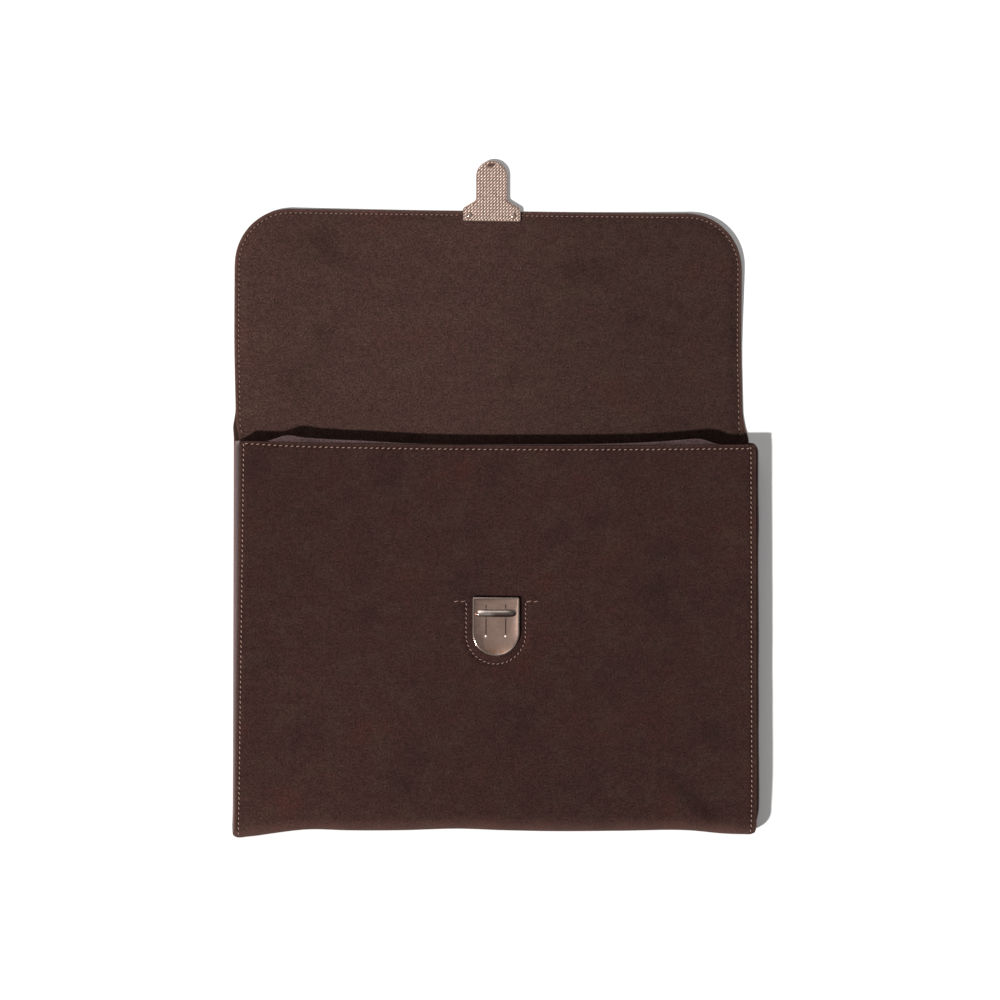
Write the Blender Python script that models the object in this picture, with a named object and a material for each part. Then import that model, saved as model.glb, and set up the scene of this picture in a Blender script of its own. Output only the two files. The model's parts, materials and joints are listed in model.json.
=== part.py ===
"""Flap laptop sleeve with a tuck lock, lying open on its back.

Metres, +Z up through the thickness, +X to the right, +Y towards the flap.
The origin is the middle of the footprint, on the surface that the sleeve lies on.
Everything is drawn open: the flap lies flat beyond the mouth of the pocket.
"""
import math

import bmesh
import bpy
from mathutils import Vector

# ---- driving dimensions ------------------------------------------------------------------
GAP = 0.0003              # kept between pieces that touch
OPEN_LENGTH = 0.495       # bottom of the sleeve to the tip of the tongue, flap open
BODY_HALF = 0.1925        # half the width over the side gussets
PANEL_HALF = 0.1912       # half the width of the front and back leather
FLAP_HALF = 0.1880        # half the width of the spine and the flap
BOTTOM = -OPEN_LENGTH / 2
MOUTH = 0.040             # top edge of the front panel
SPINE_FOLD = 0.060        # crease between the back panel and the spine
FLAP_FOLD = 0.083         # crease between the spine and the flap
FLAP_EDGE = 0.2106        # free edge of the flap
FLAP_CORNER = 0.041       # radius of the flap's two free corners
LEATHER = 0.0012
LINING = 0.0006
BACK_PADDING = 0.0010
FRONT_PADDING = 0.0020
FLAP_BOARD = 0.0006       # stiffener inside the flap
POCKET_DEPTH = 0.0160     # clear space for a laptop up to 15.5 mm thick
BOTTOM_ROLL = 0.008       # outer radius where the leather turns round the bottom

# ---- heights worked out from the layers -----------------------------------------------------
BACK_PADDING_Z = LEATHER + GAP
BACK_LINING_Z = BACK_PADDING_Z + BACK_PADDING + GAP
POCKET_Z = BACK_LINING_Z + LINING + GAP
FRONT_LINING_Z = POCKET_Z + POCKET_DEPTH + GAP
FRONT_PADDING_Z = FRONT_LINING_Z + LINING + GAP
FRONT_Z = FRONT_PADDING_Z + FRONT_PADDING + GAP
TOP_Z = FRONT_Z + LEATHER                      # outer face of the front leather
FOLD_Z = BACK_LINING_Z + LINING + 0.0001       # both creases turn about the inner face
FLAP_LINING_Z = LEATHER + GAP + FLAP_BOARD + GAP
FLAP_INNER_Z = FLAP_LINING_Z + LINING

# ---- gussets and their flanges --------------------------------------------------------------
GUSSET = 0.0010
GUSSET_FLANGE = 0.1845    # inner edge of the sewn flanges
GUSSET_ROUND = 0.003
PADDING_HALF = GUSSET_FLANGE - 0.0008
SIDE_LINING_X = 0.1878

# ---- lock, from its top edge; heights count from the front leather's outer face ------------
LOCK_TOP = -0.0720
LOCK_LENGTH = 0.0429
LOCK_HALF = 0.0174
PLATE_Z = 0.0024
PLATE_THICK = 0.0008
PLATE_BEVEL = 0.0005
CASE_HALF = 0.0132
CASE_TOP = LOCK_TOP - 0.0020
CASE_BOTTOM = LOCK_TOP - 0.0365
CASE_WALL = 0.0006
CASE_FLOOR_Z = -0.0023
CASE_FLOOR = 0.0005
CASE_RIM_Z = PLATE_Z - GAP
BACK_PLATE_Z = -0.0033
BACK_PLATE_THICK = 0.0007
PATCH_Z = -LEATHER - GAP - 0.0008
PATCH_THICK = 0.0008
SLOT_X = 0.0072
SLOT_HALF = 0.0006
SLOT_TOP = LOCK_TOP - 0.0054
SLOT_LENGTH = 0.0230
SLIDER_Y = LOCK_TOP - 0.0117
SLIDER_HALF = 0.0145
SLIDER_WIDE = 0.0055
SLIDER_Z = PLATE_Z + PLATE_THICK + GAP
SLIDER_THICK = 0.0015
FOOT_HALF = 0.01245
FOOT_HALF_LENGTH = 0.0040
FOOT_Z = PLATE_Z - GAP - 0.0005
LUG_Z = -0.0001
LEAF_ROOT = LOCK_TOP - 0.0045
LEAF_END = LOCK_TOP - 0.0310
LEAF_Z = -0.0007
LEAF_THICK = 0.0004
HOOK_Y = LOCK_TOP - 0.0291
HOOK_Z = 0.0009
SCREW_X = 0.0153
SCREW_YS = (LOCK_TOP - 0.0028, LOCK_TOP - 0.0210)

# ---- tongue -----------------------------------------------------------------------------------
TONGUE_TIP = OPEN_LENGTH / 2
TONGUE_HALF = 0.0115
TONGUE_BASE_HALF = 0.0214
TONGUE_BASE = 0.2028
TONGUE_SHOULDER = 0.2115
TONGUE_NECK = 0.2183      # where the sloping shoulders meet the blade's sides
TONGUE_THICK = 0.0008
TONGUE_EASE = 0.0030      # radius where shoulder, slope and blade meet
CATCH_SLOT_Y = TONGUE_TIP - 0.0034
TONGUE_RIVET_X = 0.0161
TONGUE_RIVET_Y = 0.2070

ROUND_STEP = math.radians(15)
SAME_POINT = 0.000005     # closer points than this are one


# ---- shape helpers ------------------------------------------------------------------------------
def rounded(corners, closed=True):
    """Corners (x, y, radius) joined by straight runs, each corner turned to its radius."""
    points = []
    count = len(corners)
    for i, (x, y, radius) in enumerate(corners):
        here = Vector((x, y))
        is_end = not closed and i in (0, count - 1)
        if is_end or radius <= 0:
            points.append(here)
            continue
        back = (Vector(corners[i - 1][:2]) - here).normalized()
        on = (Vector(corners[(i + 1) % count][:2]) - here).normalized()
        half = back.angle(on) / 2
        centre = here + (back + on).normalized() * radius / math.sin(half)
        start = here + back * radius / math.tan(half) - centre
        turn = math.pi - 2 * half
        turn *= 1 if back.x * on.y - back.y * on.x < 0 else -1
        steps = max(2, math.ceil(abs(turn) / ROUND_STEP))
        for step in range(steps + 1):
            angle = turn * step / steps
            cos, sin = math.cos(angle), math.sin(angle)
            points.append(centre + Vector((start.x * cos - start.y * sin,
                                           start.x * sin + start.y * cos)))
    kept = points[:1]
    for point in points[1:]:
        if (point - kept[-1]).length > SAME_POINT:
            kept.append(point)
    return kept


def band(corners, thickness):
    """The outline of a strip of even thickness whose middle runs along an open path."""
    path = rounded(corners, closed=False)
    left, right = [], []
    for i, point in enumerate(path):
        before = path[max(i - 1, 0)]
        after = path[min(i + 1, len(path) - 1)]
        along = (after - before).normalized()
        side = Vector((-along.y, along.x)) * thickness / 2
        left.append(point + side)
        right.append(point - side)
    return left + right[::-1]


def box_outline(half_x, y0, y1, radius=0.0):
    return rounded([(-half_x, y0, radius), (half_x, y0, radius),
                    (half_x, y1, radius), (-half_x, y1, radius)])


def circle_outline(x, y, radius, sides=16):
    return [Vector((x + radius * math.cos(math.tau * i / sides),
                    y + radius * math.sin(math.tau * i / sides))) for i in range(sides)]


PLACE = {
    "X": lambda a, b, h: Vector((h, a, b)),
    "Y": lambda a, b, h: Vector((a, h, b)),
    "Z": lambda a, b, h: Vector((a, b, h)),
}


def solid(name, outline, low, high, material, along="Z", origin=(0, 0, 0)):
    """One object: an outline pushed from low to high along an axis."""
    origin = Vector(origin)
    place = PLACE[along]
    work = bmesh.new()
    ring = [work.verts.new(place(p.x, p.y, low) - origin) for p in outline]
    face = work.faces.new(ring)
    made = bmesh.ops.extrude_face_region(work, geom=[face])
    step = place(0, 0, high - low)
    moved = [v for v in made["geom"] if isinstance(v, bmesh.types.BMVert)]
    bmesh.ops.translate(work, verts=moved, vec=step)
    bmesh.ops.recalc_face_normals(work, faces=work.faces)
    mesh = bpy.data.meshes.new(name)
    work.to_mesh(mesh)
    work.free()
    mesh.materials.append(material)
    thing = bpy.data.objects.new(name, mesh)
    thing.location = origin
    bpy.context.scene.collection.objects.link(thing)
    return thing


def combine(thing, tool, operation="DIFFERENCE"):
    """Cut a tool out of a thing, or join it on, and keep the tool out of the model."""
    tool.hide_render = True
    tool.display_type = "WIRE"
    step = thing.modifiers.new(operation.title(), "BOOLEAN")
    step.operation = operation
    step.solver = "EXACT"
    step.object = tool
    return thing


def bevel(thing, width, segments=2):
    step = thing.modifiers.new("Bevel", "BEVEL")
    step.width = width
    step.segments = segments
    step.limit_method = "ANGLE"
    return thing


def shade_round(thing):
    thing.data.shade_smooth()
    thing.data.set_sharp_from_angle(angle=math.radians(40))


def material(name, colour, roughness, metallic=0.0):
    made = bpy.data.materials.new(name)
    made.use_nodes = True
    shader = made.node_tree.nodes["Principled BSDF"]
    shader.inputs["Base Color"].default_value = (*colour, 1)
    shader.inputs["Roughness"].default_value = roughness
    shader.inputs["Metallic"].default_value = metallic
    return made


# ---- leather, lining and padding of the pocket ------------------------------------------------
def patch_outline(grow=0.0):
    """The reinforcement behind the lock: a wide top strip over a round-bottomed tab."""
    wide, narrow, strip = 0.034 + grow, 0.0236 + grow, 0.0095
    top = LOCK_TOP + 0.0020 + grow
    low = LOCK_TOP - 0.0505 - grow
    step = top - strip - 2 * grow
    return rounded([(wide, top, 0.001), (-wide, top, 0.001), (-wide, step, 0.001),
                    (-narrow, step, 0.001), (-narrow, low, narrow - 0.0005),
                    (narrow, low, narrow - 0.0005), (narrow, step, 0.001),
                    (wide, step, 0.001)])


def case_outline(grow=0.0):
    half, round_end = CASE_HALF + grow, 0.003
    return rounded([(half, CASE_TOP + grow, 0.0), (-half, CASE_TOP + grow, 0.0),
                    (-half, CASE_BOTTOM - grow, round_end), (half, CASE_BOTTOM - grow, round_end)])


def make_pocket(leather, lining, padding):
    roll = BOTTOM + BOTTOM_ROLL
    middle = LEATHER / 2
    front = solid("front_panel", box_outline(PANEL_HALF, roll + GAP, MOUTH, 0.003),
                  FRONT_Z, TOP_Z, leather)
    combine(front, solid("front_panel_window", case_outline(GAP), FRONT_Z - 0.001,
                         TOP_Z + 0.001, leather))
    cut_screw_holes(front, leather)
    solid("back_panel", box_outline(PANEL_HALF, roll + GAP, SPINE_FOLD - GAP, 0.0005),
          0, LEATHER, leather)
    fold = band([(roll, TOP_Z - middle, 0), (BOTTOM + middle, TOP_Z - middle, BOTTOM_ROLL - middle),
                 (BOTTOM + middle, middle, BOTTOM_ROLL - middle), (roll, middle, 0)], LEATHER)
    shade_round(solid("bottom_fold", fold, -PANEL_HALF, PANEL_HALF, leather, "X"))

    inner = BOTTOM + 0.0090
    front_pad = solid("front_padding", box_outline(PADDING_HALF, inner, MOUTH - 0.006, 0.003),
                      FRONT_PADDING_Z, FRONT_PADDING_Z + FRONT_PADDING, padding)
    combine(front_pad, solid("front_padding_window", patch_outline(0.0006),
                             FRONT_PADDING_Z - 0.001, FRONT_Z + 0.001, padding))
    solid("back_padding", box_outline(PADDING_HALF, inner, SPINE_FOLD - 0.006, 0.003),
          BACK_PADDING_Z, BACK_PADDING_Z + BACK_PADDING, padding)
    lining_half = SIDE_LINING_X - GAP
    solid("front_lining", box_outline(lining_half, inner, MOUTH - 0.001, 0.001),
          FRONT_LINING_Z, FRONT_LINING_Z + LINING, lining)
    solid("back_lining", box_outline(lining_half, inner, SPINE_FOLD - GAP, 0.001),
          BACK_LINING_Z, BACK_LINING_Z + LINING, lining)
    low, high = BACK_LINING_Z + LINING / 2, FRONT_LINING_Z + LINING / 2
    end, turn = inner - GAP, 0.004
    back_wall = end - 0.0050
    loop = band([(end, high, 0), (back_wall, high, turn), (back_wall, low, turn), (end, low, 0)],
                LINING)
    shade_round(solid("bottom_lining", loop, -lining_half, lining_half, lining, "X"))


def make_gussets(leather, lining):
    top, low = FRONT_Z - GAP - GUSSET / 2, LEATHER + GAP + GUSSET / 2
    wall = BODY_HALF - GUSSET / 2
    # the lower end is trimmed to fit inside the roll of the bottom fold
    end, inside, past = BOTTOM + LEATHER + GAP, BOTTOM_ROLL - LEATHER - GAP, MOUTH + 0.01
    below, above = LEATHER + GAP / 2, FRONT_Z - GAP / 2
    trim = rounded([(end, below, inside), (past, below, 0), (past, above, 0), (end, above, inside)])
    for name, side in (("left", -1), ("right", 1)):
        section = band([(side * GUSSET_FLANGE, top, 0), (side * wall, top, GUSSET_ROUND),
                        (side * wall, low, GUSSET_ROUND), (side * GUSSET_FLANGE, low, 0)], GUSSET)
        gusset = solid(f"{name}_gusset", section, BOTTOM + LEATHER, MOUTH - 0.001, leather, "Y")
        combine(gusset, solid("gusset_trim", trim, -BODY_HALF - 0.01, BODY_HALF + 0.01, leather,
                              "X"), "INTERSECT")
        shade_round(gusset)
        near, far = sorted((side * SIDE_LINING_X, side * (SIDE_LINING_X + LINING)))
        strip = rounded([(near, BOTTOM + 0.0090, 0), (far, BOTTOM + 0.0090, 0),
                         (far, MOUTH - 0.001, 0), (near, MOUTH - 0.001, 0)])
        solid(f"{name}_side_lining", strip, BACK_LINING_Z, FRONT_LINING_Z + LINING, lining)


# ---- spine and flap -------------------------------------------------------------------------------
def make_spine(leather, lining):
    origin = (0, SPINE_FOLD, FOLD_Z)
    outline = box_outline(FLAP_HALF, SPINE_FOLD + GAP, FLAP_FOLD - GAP, 0.0005)
    solid("spine_leather", outline, 0, LEATHER, leather, origin=origin)
    outline = box_outline(FLAP_HALF - 0.0008, SPINE_FOLD + GAP, FLAP_FOLD - GAP, 0.0005)
    solid("spine_lining", outline, LEATHER + GAP, LEATHER + GAP + LINING, lining, origin=origin)


def flap_outline(inset, start):
    half, corner = FLAP_HALF - inset, FLAP_CORNER - inset
    return rounded([(-half, start, 0.0005), (half, start, 0.0005),
                    (half, FLAP_EDGE - inset, corner), (-half, FLAP_EDGE - inset, corner)])


def tongue_base_outline(grow=0.0):
    half, low, high = TONGUE_BASE_HALF + grow, TONGUE_BASE - grow, TONGUE_SHOULDER + grow
    return rounded([(-half, low, 0.0015), (half, low, 0.0015), (half, high, TONGUE_EASE),
                    (-half, high, TONGUE_EASE)])


def make_flap(leather, lining, board):
    origin = (0, FLAP_FOLD, FOLD_Z)
    outer = solid("flap_leather", flap_outline(0, FLAP_FOLD + GAP), 0, LEATHER, leather,
                  origin=origin)
    # the leather is pared down on its outside where the tongue's outer plate is set in
    combine(outer, solid("flap_paring", tongue_base_outline(GAP), -0.001, TONGUE_THICK + GAP,
                         leather))
    stiff = solid("flap_stiffener", flap_outline(0.008, FLAP_FOLD + 0.004), LEATHER + GAP,
                  LEATHER + GAP + FLAP_BOARD, board, origin=origin)
    inner = solid("flap_lining", flap_outline(0.0008, FLAP_FOLD + GAP), FLAP_LINING_Z,
                  FLAP_INNER_Z, lining, origin=origin)
    for side in (-1, 1):
        for thing in (outer, stiff, inner):
            hole = solid("flap_rivet_hole", circle_outline(side * TONGUE_RIVET_X, TONGUE_RIVET_Y,
                                                           0.0012), -0.001, 0.006, leather)
            combine(thing, hole)


# ---- tongue ---------------------------------------------------------------------------------------
def make_tongue(metal):
    origin = (0, FLAP_FOLD, FOLD_Z)
    half, base, shoulder = TONGUE_HALF, TONGUE_BASE_HALF, TONGUE_SHOULDER + 0.0010
    low = FLAP_INNER_Z + GAP
    blade_corners = [
        (-base, TONGUE_BASE, 0.0015), (base, TONGUE_BASE, 0.0015), (base, shoulder, TONGUE_EASE),
        (half, TONGUE_NECK, TONGUE_EASE), (half, TONGUE_TIP, half - 0.00001),
        (-half, TONGUE_TIP, half - 0.00001), (-half, TONGUE_NECK, TONGUE_EASE),
        (-base, shoulder, TONGUE_EASE)]
    blade = solid("tongue_blade", rounded(blade_corners), low, low + TONGUE_THICK, metal,
                  origin=origin)
    slot = [(-0.0028, CATCH_SLOT_Y - 0.0013, 0.0003), (0.0028, CATCH_SLOT_Y - 0.0013, 0.0003),
            (0.0028, CATCH_SLOT_Y + 0.0013, 0.0003), (-0.0028, CATCH_SLOT_Y + 0.0013, 0.0003)]
    combine(blade, solid("catch_slot", rounded(slot), low - 0.001, low + 0.002, metal))
    plate = solid("tongue_outer_plate", tongue_base_outline(), 0, TONGUE_THICK, metal,
                  origin=origin)
    for name, side in (("left", -1), ("right", 1)):
        x = side * TONGUE_RIVET_X
        for thing in (blade, plate):
            combine(thing, solid("tongue_rivet_hole", circle_outline(x, TONGUE_RIVET_Y, 0.0010),
                                 -0.001, 0.006, metal))
        face = low + TONGUE_THICK
        rivet = solid(f"tongue_rivet_{name}", circle_outline(x, TONGUE_RIVET_Y, 0.0007),
                      0.0001, face + 0.0005, metal, origin=origin)
        combine(rivet, solid("rivet_head", circle_outline(x, TONGUE_RIVET_Y, 0.0015),
                             face + GAP, face + 0.0008, metal), "UNION")


# ---- lock -----------------------------------------------------------------------------------------
def at_lock(height):
    return TOP_Z + height


def cut_screw_holes(thing, stuff, radius=0.0010):
    for x in (-SCREW_X, SCREW_X):
        for y in SCREW_YS:
            combine(thing, solid("screw_hole", circle_outline(x, y, radius), TOP_Z - 0.006,
                                 TOP_Z + 0.001, stuff))


def lock_outline(inset=0.0):
    half, corner = LOCK_HALF - inset, 0.0012
    low, high = LOCK_TOP - LOCK_LENGTH + inset, LOCK_TOP - inset
    return rounded([(half, high, corner), (-half, high, corner),
                    (-half, low, half - 0.00001), (half, low, half - 0.00001)])


def make_lock_plates(metal, leather):
    plate = solid("lock_front_plate", lock_outline(), at_lock(PLATE_Z),
                  at_lock(PLATE_Z + PLATE_THICK), metal)
    bevel(plate, PLATE_BEVEL)
    for x in (-SLOT_X, SLOT_X):
        slot = rounded([(x - SLOT_HALF, SLOT_TOP - SLOT_LENGTH, 0.0005),
                        (x + SLOT_HALF, SLOT_TOP - SLOT_LENGTH, 0.0005),
                        (x + SLOT_HALF, SLOT_TOP, 0.0005), (x - SLOT_HALF, SLOT_TOP, 0.0005)])
        combine(plate, solid("plate_slot", slot, at_lock(PLATE_Z - 0.001),
                             at_lock(PLATE_Z + 0.002), metal))
    for x in (-SCREW_X, SCREW_X):
        for y in SCREW_YS:
            boss = solid("screw_boss", circle_outline(x, y, 0.0014), at_lock(0.0004),
                         at_lock(PLATE_Z + 0.0003), metal)
            combine(plate, boss, "UNION")
            combine(plate, solid("boss_bore", circle_outline(x, y, 0.0009), at_lock(-0.001),
                                 at_lock(0.0018), metal))

    back = solid("lock_back_plate", lock_outline(0.0006), at_lock(BACK_PLATE_Z),
                 at_lock(BACK_PLATE_Z + BACK_PLATE_THICK), metal)
    patch = solid("lock_patch", patch_outline(), at_lock(PATCH_Z), at_lock(PATCH_Z + PATCH_THICK),
                  leather)
    combine(patch, solid("patch_window", case_outline(GAP), at_lock(PATCH_Z - 0.001),
                         at_lock(PATCH_Z + 0.002), leather))
    cut_screw_holes(patch, leather)
    cut_screw_holes(back, metal)
    number = 0
    for y in SCREW_YS:
        for x in (-SCREW_X, SCREW_X):
            number += 1
            make_lock_screw(f"lock_screw_{number}", x, y, back, metal)


def make_lock_screw(name, x, y, back, metal):
    """A flat-headed screw from behind, its head sunk in the back plate."""
    low = at_lock(BACK_PLATE_Z)
    sink = solid("screw_sink", circle_outline(x, y, 0.0017), low - 0.001, low + 0.0004, metal)
    combine(back, sink)
    screw = solid(name, circle_outline(x, y, 0.0014), low - 0.0002, low + 0.0002, metal)
    shank = solid("screw_shank", circle_outline(x, y, 0.0006), low, at_lock(0.0014), metal)
    combine(screw, shank, "UNION")
    shade_round(screw)


def make_lock_case(metal):
    case = solid("lock_case", case_outline(), at_lock(CASE_FLOOR_Z), at_lock(CASE_RIM_Z), metal)
    inside = CASE_HALF - CASE_WALL
    hollow = box_outline(inside, CASE_BOTTOM + CASE_WALL, CASE_TOP - CASE_WALL, 0.0)
    combine(case, solid("case_hollow", hollow, at_lock(CASE_FLOOR_Z + CASE_FLOOR),
                        at_lock(CASE_RIM_Z + 0.001), metal))
    entry = box_outline(inside, CASE_TOP - 0.0010, CASE_TOP + 0.001, 0.0)
    combine(case, solid("case_entry", entry, at_lock(0.0), at_lock(CASE_RIM_Z + 0.001), metal))
    step = box_outline(0.0055, LEAF_ROOT - 0.0015, CASE_TOP - 0.0003, 0.0)
    combine(case, solid("leaf_step", step, at_lock(CASE_FLOOR_Z + 0.0001),
                        at_lock(LEAF_Z - GAP), metal), "UNION")
    return case


def make_slider(metal):
    origin = (0, SLIDER_Y, at_lock(SLIDER_Z))
    half = SLIDER_WIDE / 2
    bar = solid("slider_bar", box_outline(SLIDER_HALF, SLIDER_Y - half, SLIDER_Y + half, 0.0012),
                at_lock(SLIDER_Z), at_lock(SLIDER_Z + SLIDER_THICK), metal, origin=origin)
    bevel(bar, 0.0006, 3)
    foot = solid("slider_foot", box_outline(FOOT_HALF, SLIDER_Y - FOOT_HALF_LENGTH,
                                            SLIDER_Y + FOOT_HALF_LENGTH, 0.0),
                 at_lock(FOOT_Z), at_lock(FOOT_Z + 0.0005), metal, origin=origin)
    for side in (-1, 1):
        x = side * SLOT_X
        leg = [Vector((x - 0.00035, SLIDER_Y - 0.002)), Vector((x + 0.00035, SLIDER_Y - 0.002)),
               Vector((x + 0.00035, SLIDER_Y + 0.002)), Vector((x - 0.00035, SLIDER_Y + 0.002))]
        combine(bar, solid("slider_leg", leg, at_lock(FOOT_Z + 0.0005 + 0.0002),
                           at_lock(SLIDER_Z + 0.0008), metal), "UNION")
        near, far = sorted((side * (FOOT_HALF - 0.0007), side * FOOT_HALF))
        y0, y1 = SLIDER_Y - FOOT_HALF_LENGTH, SLIDER_Y + FOOT_HALF_LENGTH
        lug = [Vector((near, y0)), Vector((far, y0)), Vector((far, y1)), Vector((near, y1))]
        combine(foot, solid("slider_lug", lug, at_lock(LUG_Z), at_lock(FOOT_Z + 0.0002), metal),
                "UNION")


def make_catch_leaf(case, metal):
    """The sprung leaf under the tongue: a hook at its end, and two ramps that the slider rides."""
    origin = (0, LEAF_ROOT, at_lock(LEAF_Z + LEAF_THICK / 2))
    low, top = at_lock(LEAF_Z), at_lock(LEAF_Z + LEAF_THICK)
    leaf = solid("catch_leaf", box_outline(0.0050, LEAF_END, CASE_TOP - CASE_WALL - GAP, 0.0005),
                 low, top, metal, origin=origin)
    ramp_start = SLIDER_Y - FOOT_HALF_LENGTH - 0.0003
    ramp_end = ramp_start - 0.0100
    arm = box_outline(FOOT_HALF - 0.0001, ramp_end, ramp_end + 0.0060, 0.0)
    combine(leaf, solid("leaf_arm", arm, low + 0.00002, top - 0.00002, metal), "UNION")
    for side in (-1, 1):
        near, far = sorted((side * (FOOT_HALF - 0.0007), side * (FOOT_HALF - 0.00012)))
        wedge = [Vector((ramp_start, low + 0.0001)), Vector((ramp_start, top)),
                 Vector((ramp_end + 0.0001, top + 0.0007)), Vector((ramp_end + 0.0001, low + 0.0001))]
        combine(leaf, solid("leaf_ramp", wedge, near, far, metal, "X"), "UNION")
    hook = [Vector((HOOK_Y - 0.0009, low + 0.0001)), Vector((HOOK_Y - 0.0009, top + 0.0002)),
            Vector((HOOK_Y + 0.0002, at_lock(HOOK_Z))), Vector((HOOK_Y + 0.0009, at_lock(HOOK_Z))),
            Vector((HOOK_Y + 0.0009, low + 0.0001))]
    combine(leaf, solid("leaf_hook", hook, -0.0022, 0.0022, metal, "X"), "UNION")
    for name, x in (("left", -0.0030), ("right", 0.0030)):
        y = LEAF_ROOT
        combine(leaf, solid("leaf_rivet_hole", circle_outline(x, y, 0.0009), low - 0.001,
                            top + 0.001, metal))
        combine(case, solid("case_rivet_hole", circle_outline(x, y, 0.0009),
                            at_lock(CASE_FLOOR_Z - 0.001), low, metal))
        rivet = solid(f"leaf_rivet_{name}", circle_outline(x, y, 0.0006),
                      at_lock(CASE_FLOOR_Z + 0.0001), at_lock(-0.0001), metal)
        head = solid("rivet_head", circle_outline(x, y, 0.0013), top + 0.0001,
                     at_lock(0.0001), metal)
        combine(rivet, head, "UNION")
        shade_round(rivet)


def main():
    for thing in list(bpy.data.objects):
        bpy.data.objects.remove(thing)
    leather = material("nubuck", (0.048, 0.024, 0.020), 0.85)
    lining = material("suede_lining", (0.085, 0.050, 0.044), 0.95)
    padding = material("felt_padding", (0.20, 0.19, 0.18), 1.0)
    board = material("stiffener_board", (0.30, 0.24, 0.17), 0.9)
    plate = material("champagne_metal", (0.46, 0.34, 0.28), 0.35, 1.0)
    steel = material("plated_steel", (0.55, 0.54, 0.52), 0.4, 1.0)
    make_pocket(leather, lining, padding)
    make_gussets(leather, lining)
    make_spine(leather, lining)
    make_flap(leather, lining, board)
    make_tongue(plate)
    make_lock_plates(plate, leather)
    case = make_lock_case(steel)
    make_slider(plate)
    make_catch_leaf(case, steel)


main()
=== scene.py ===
"""Looks of the flap laptop sleeve: nubuck sheets, suede lining, thread seams and a metal tuck lock.

Lengths are metres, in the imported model's frame: +Z up through the thickness, +Y towards the flap.
"""
import json
import math

import bmesh
import bpy
import numpy as np
from mathutils import Matrix, Vector, noise


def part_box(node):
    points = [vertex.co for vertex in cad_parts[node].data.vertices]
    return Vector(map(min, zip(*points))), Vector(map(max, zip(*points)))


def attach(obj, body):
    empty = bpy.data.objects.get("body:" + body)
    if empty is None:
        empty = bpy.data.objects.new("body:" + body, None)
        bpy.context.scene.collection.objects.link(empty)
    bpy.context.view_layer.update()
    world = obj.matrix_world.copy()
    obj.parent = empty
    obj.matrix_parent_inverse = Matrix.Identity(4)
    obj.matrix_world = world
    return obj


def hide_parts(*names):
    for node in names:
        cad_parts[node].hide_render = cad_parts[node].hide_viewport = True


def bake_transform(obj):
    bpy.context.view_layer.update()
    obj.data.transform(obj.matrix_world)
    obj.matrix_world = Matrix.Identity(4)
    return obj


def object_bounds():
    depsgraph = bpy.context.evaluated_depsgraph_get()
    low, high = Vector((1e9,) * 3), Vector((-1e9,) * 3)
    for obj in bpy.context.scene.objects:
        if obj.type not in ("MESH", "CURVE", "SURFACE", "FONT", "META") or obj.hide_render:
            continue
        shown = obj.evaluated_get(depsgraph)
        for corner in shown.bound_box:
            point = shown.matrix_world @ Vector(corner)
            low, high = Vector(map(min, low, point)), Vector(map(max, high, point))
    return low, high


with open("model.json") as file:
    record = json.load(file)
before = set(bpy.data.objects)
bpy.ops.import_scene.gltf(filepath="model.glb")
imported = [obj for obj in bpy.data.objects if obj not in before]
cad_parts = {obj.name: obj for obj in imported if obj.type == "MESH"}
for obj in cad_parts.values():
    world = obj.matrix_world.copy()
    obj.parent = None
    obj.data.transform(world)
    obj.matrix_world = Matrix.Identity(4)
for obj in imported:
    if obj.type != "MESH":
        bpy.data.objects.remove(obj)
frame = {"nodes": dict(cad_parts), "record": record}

CAD_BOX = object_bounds()
MM = 0.001

# ---- places read from the frame ------------------------------------------------------------------
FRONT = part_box("front_panel")
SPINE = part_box("spine_leather")
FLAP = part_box("flap_leather")
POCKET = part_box("back_lining")
FRONT_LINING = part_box("front_lining")
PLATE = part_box("lock_front_plate")
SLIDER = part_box("slider_bar")
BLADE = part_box("tongue_blade")
OUTER_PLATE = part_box("tongue_outer_plate")
RIVET_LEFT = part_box("tongue_rivet_left")
RIVET_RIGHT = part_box("tongue_rivet_right")
JOINT = {joint["name"]: joint for joint in frame["record"]["behaviour"]["joints"]}

PANEL_HALF = FRONT[1].x - 1.2 * MM     # the stitched edges draw the panel in a little
FLAP_HALF = FLAP[1].x - 0.9 * MM
MOUTH = FRONT[1].y
BOTTOM = CAD_BOX[0].y
FACE_Z = FRONT[1].z
FLAP_EDGE = FLAP[1].y
SPINE_MIDDLE = (SPINE[0].y + SPINE[1].y) / 2
CREASE_1 = JOINT["spine_fold"]["pos_m"][1]
CREASE_2 = JOINT["flap_fold"]["pos_m"][1]
LEATHER = 1.2 * MM
FLAP_CORNER = 41 * MM
SEAM_TOP = 3.1 * MM       # front panel's top seam, in from the edge
SEAM_SIDE = 3.0 * MM      # its side seams, on the left
SEAM_RIGHT = 4.0 * MM     # and on the right
SEAM_FLAP = 3.2 * MM
LOCK_MIDDLE = (PLATE[0].y + PLATE[1].y) / 2
LOCK_SEAM_HALF = 21.7 * MM     # the U of stitches round the lock: half width, top, middle of round
LOCK_SEAM_TOP = PLATE[1].y - 3.5 * MM
LOCK_SEAM_ROUND = PLATE[0].y - 5.5 * MM + LOCK_SEAM_HALF
DENT = (0.125, -0.198), (0.166, -0.236)      # the diagonal dent at the front's lower right
FINE_CREASE = (-0.176, 0.004), (-0.158, -0.014)
SHIFT = 1.4 * MM          # how far the soft body lies to one side
LEAN = 2.2 * MM           # how far the soft front lies to the same side, at the lock
DRIFT = -1.3 * MM         # how far the soft flap lies to the other side
UV_SCALE = 10.0           # texture units to a metre
WORLD_FILL = 0.085        # brightness of the studio away from its lights


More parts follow.
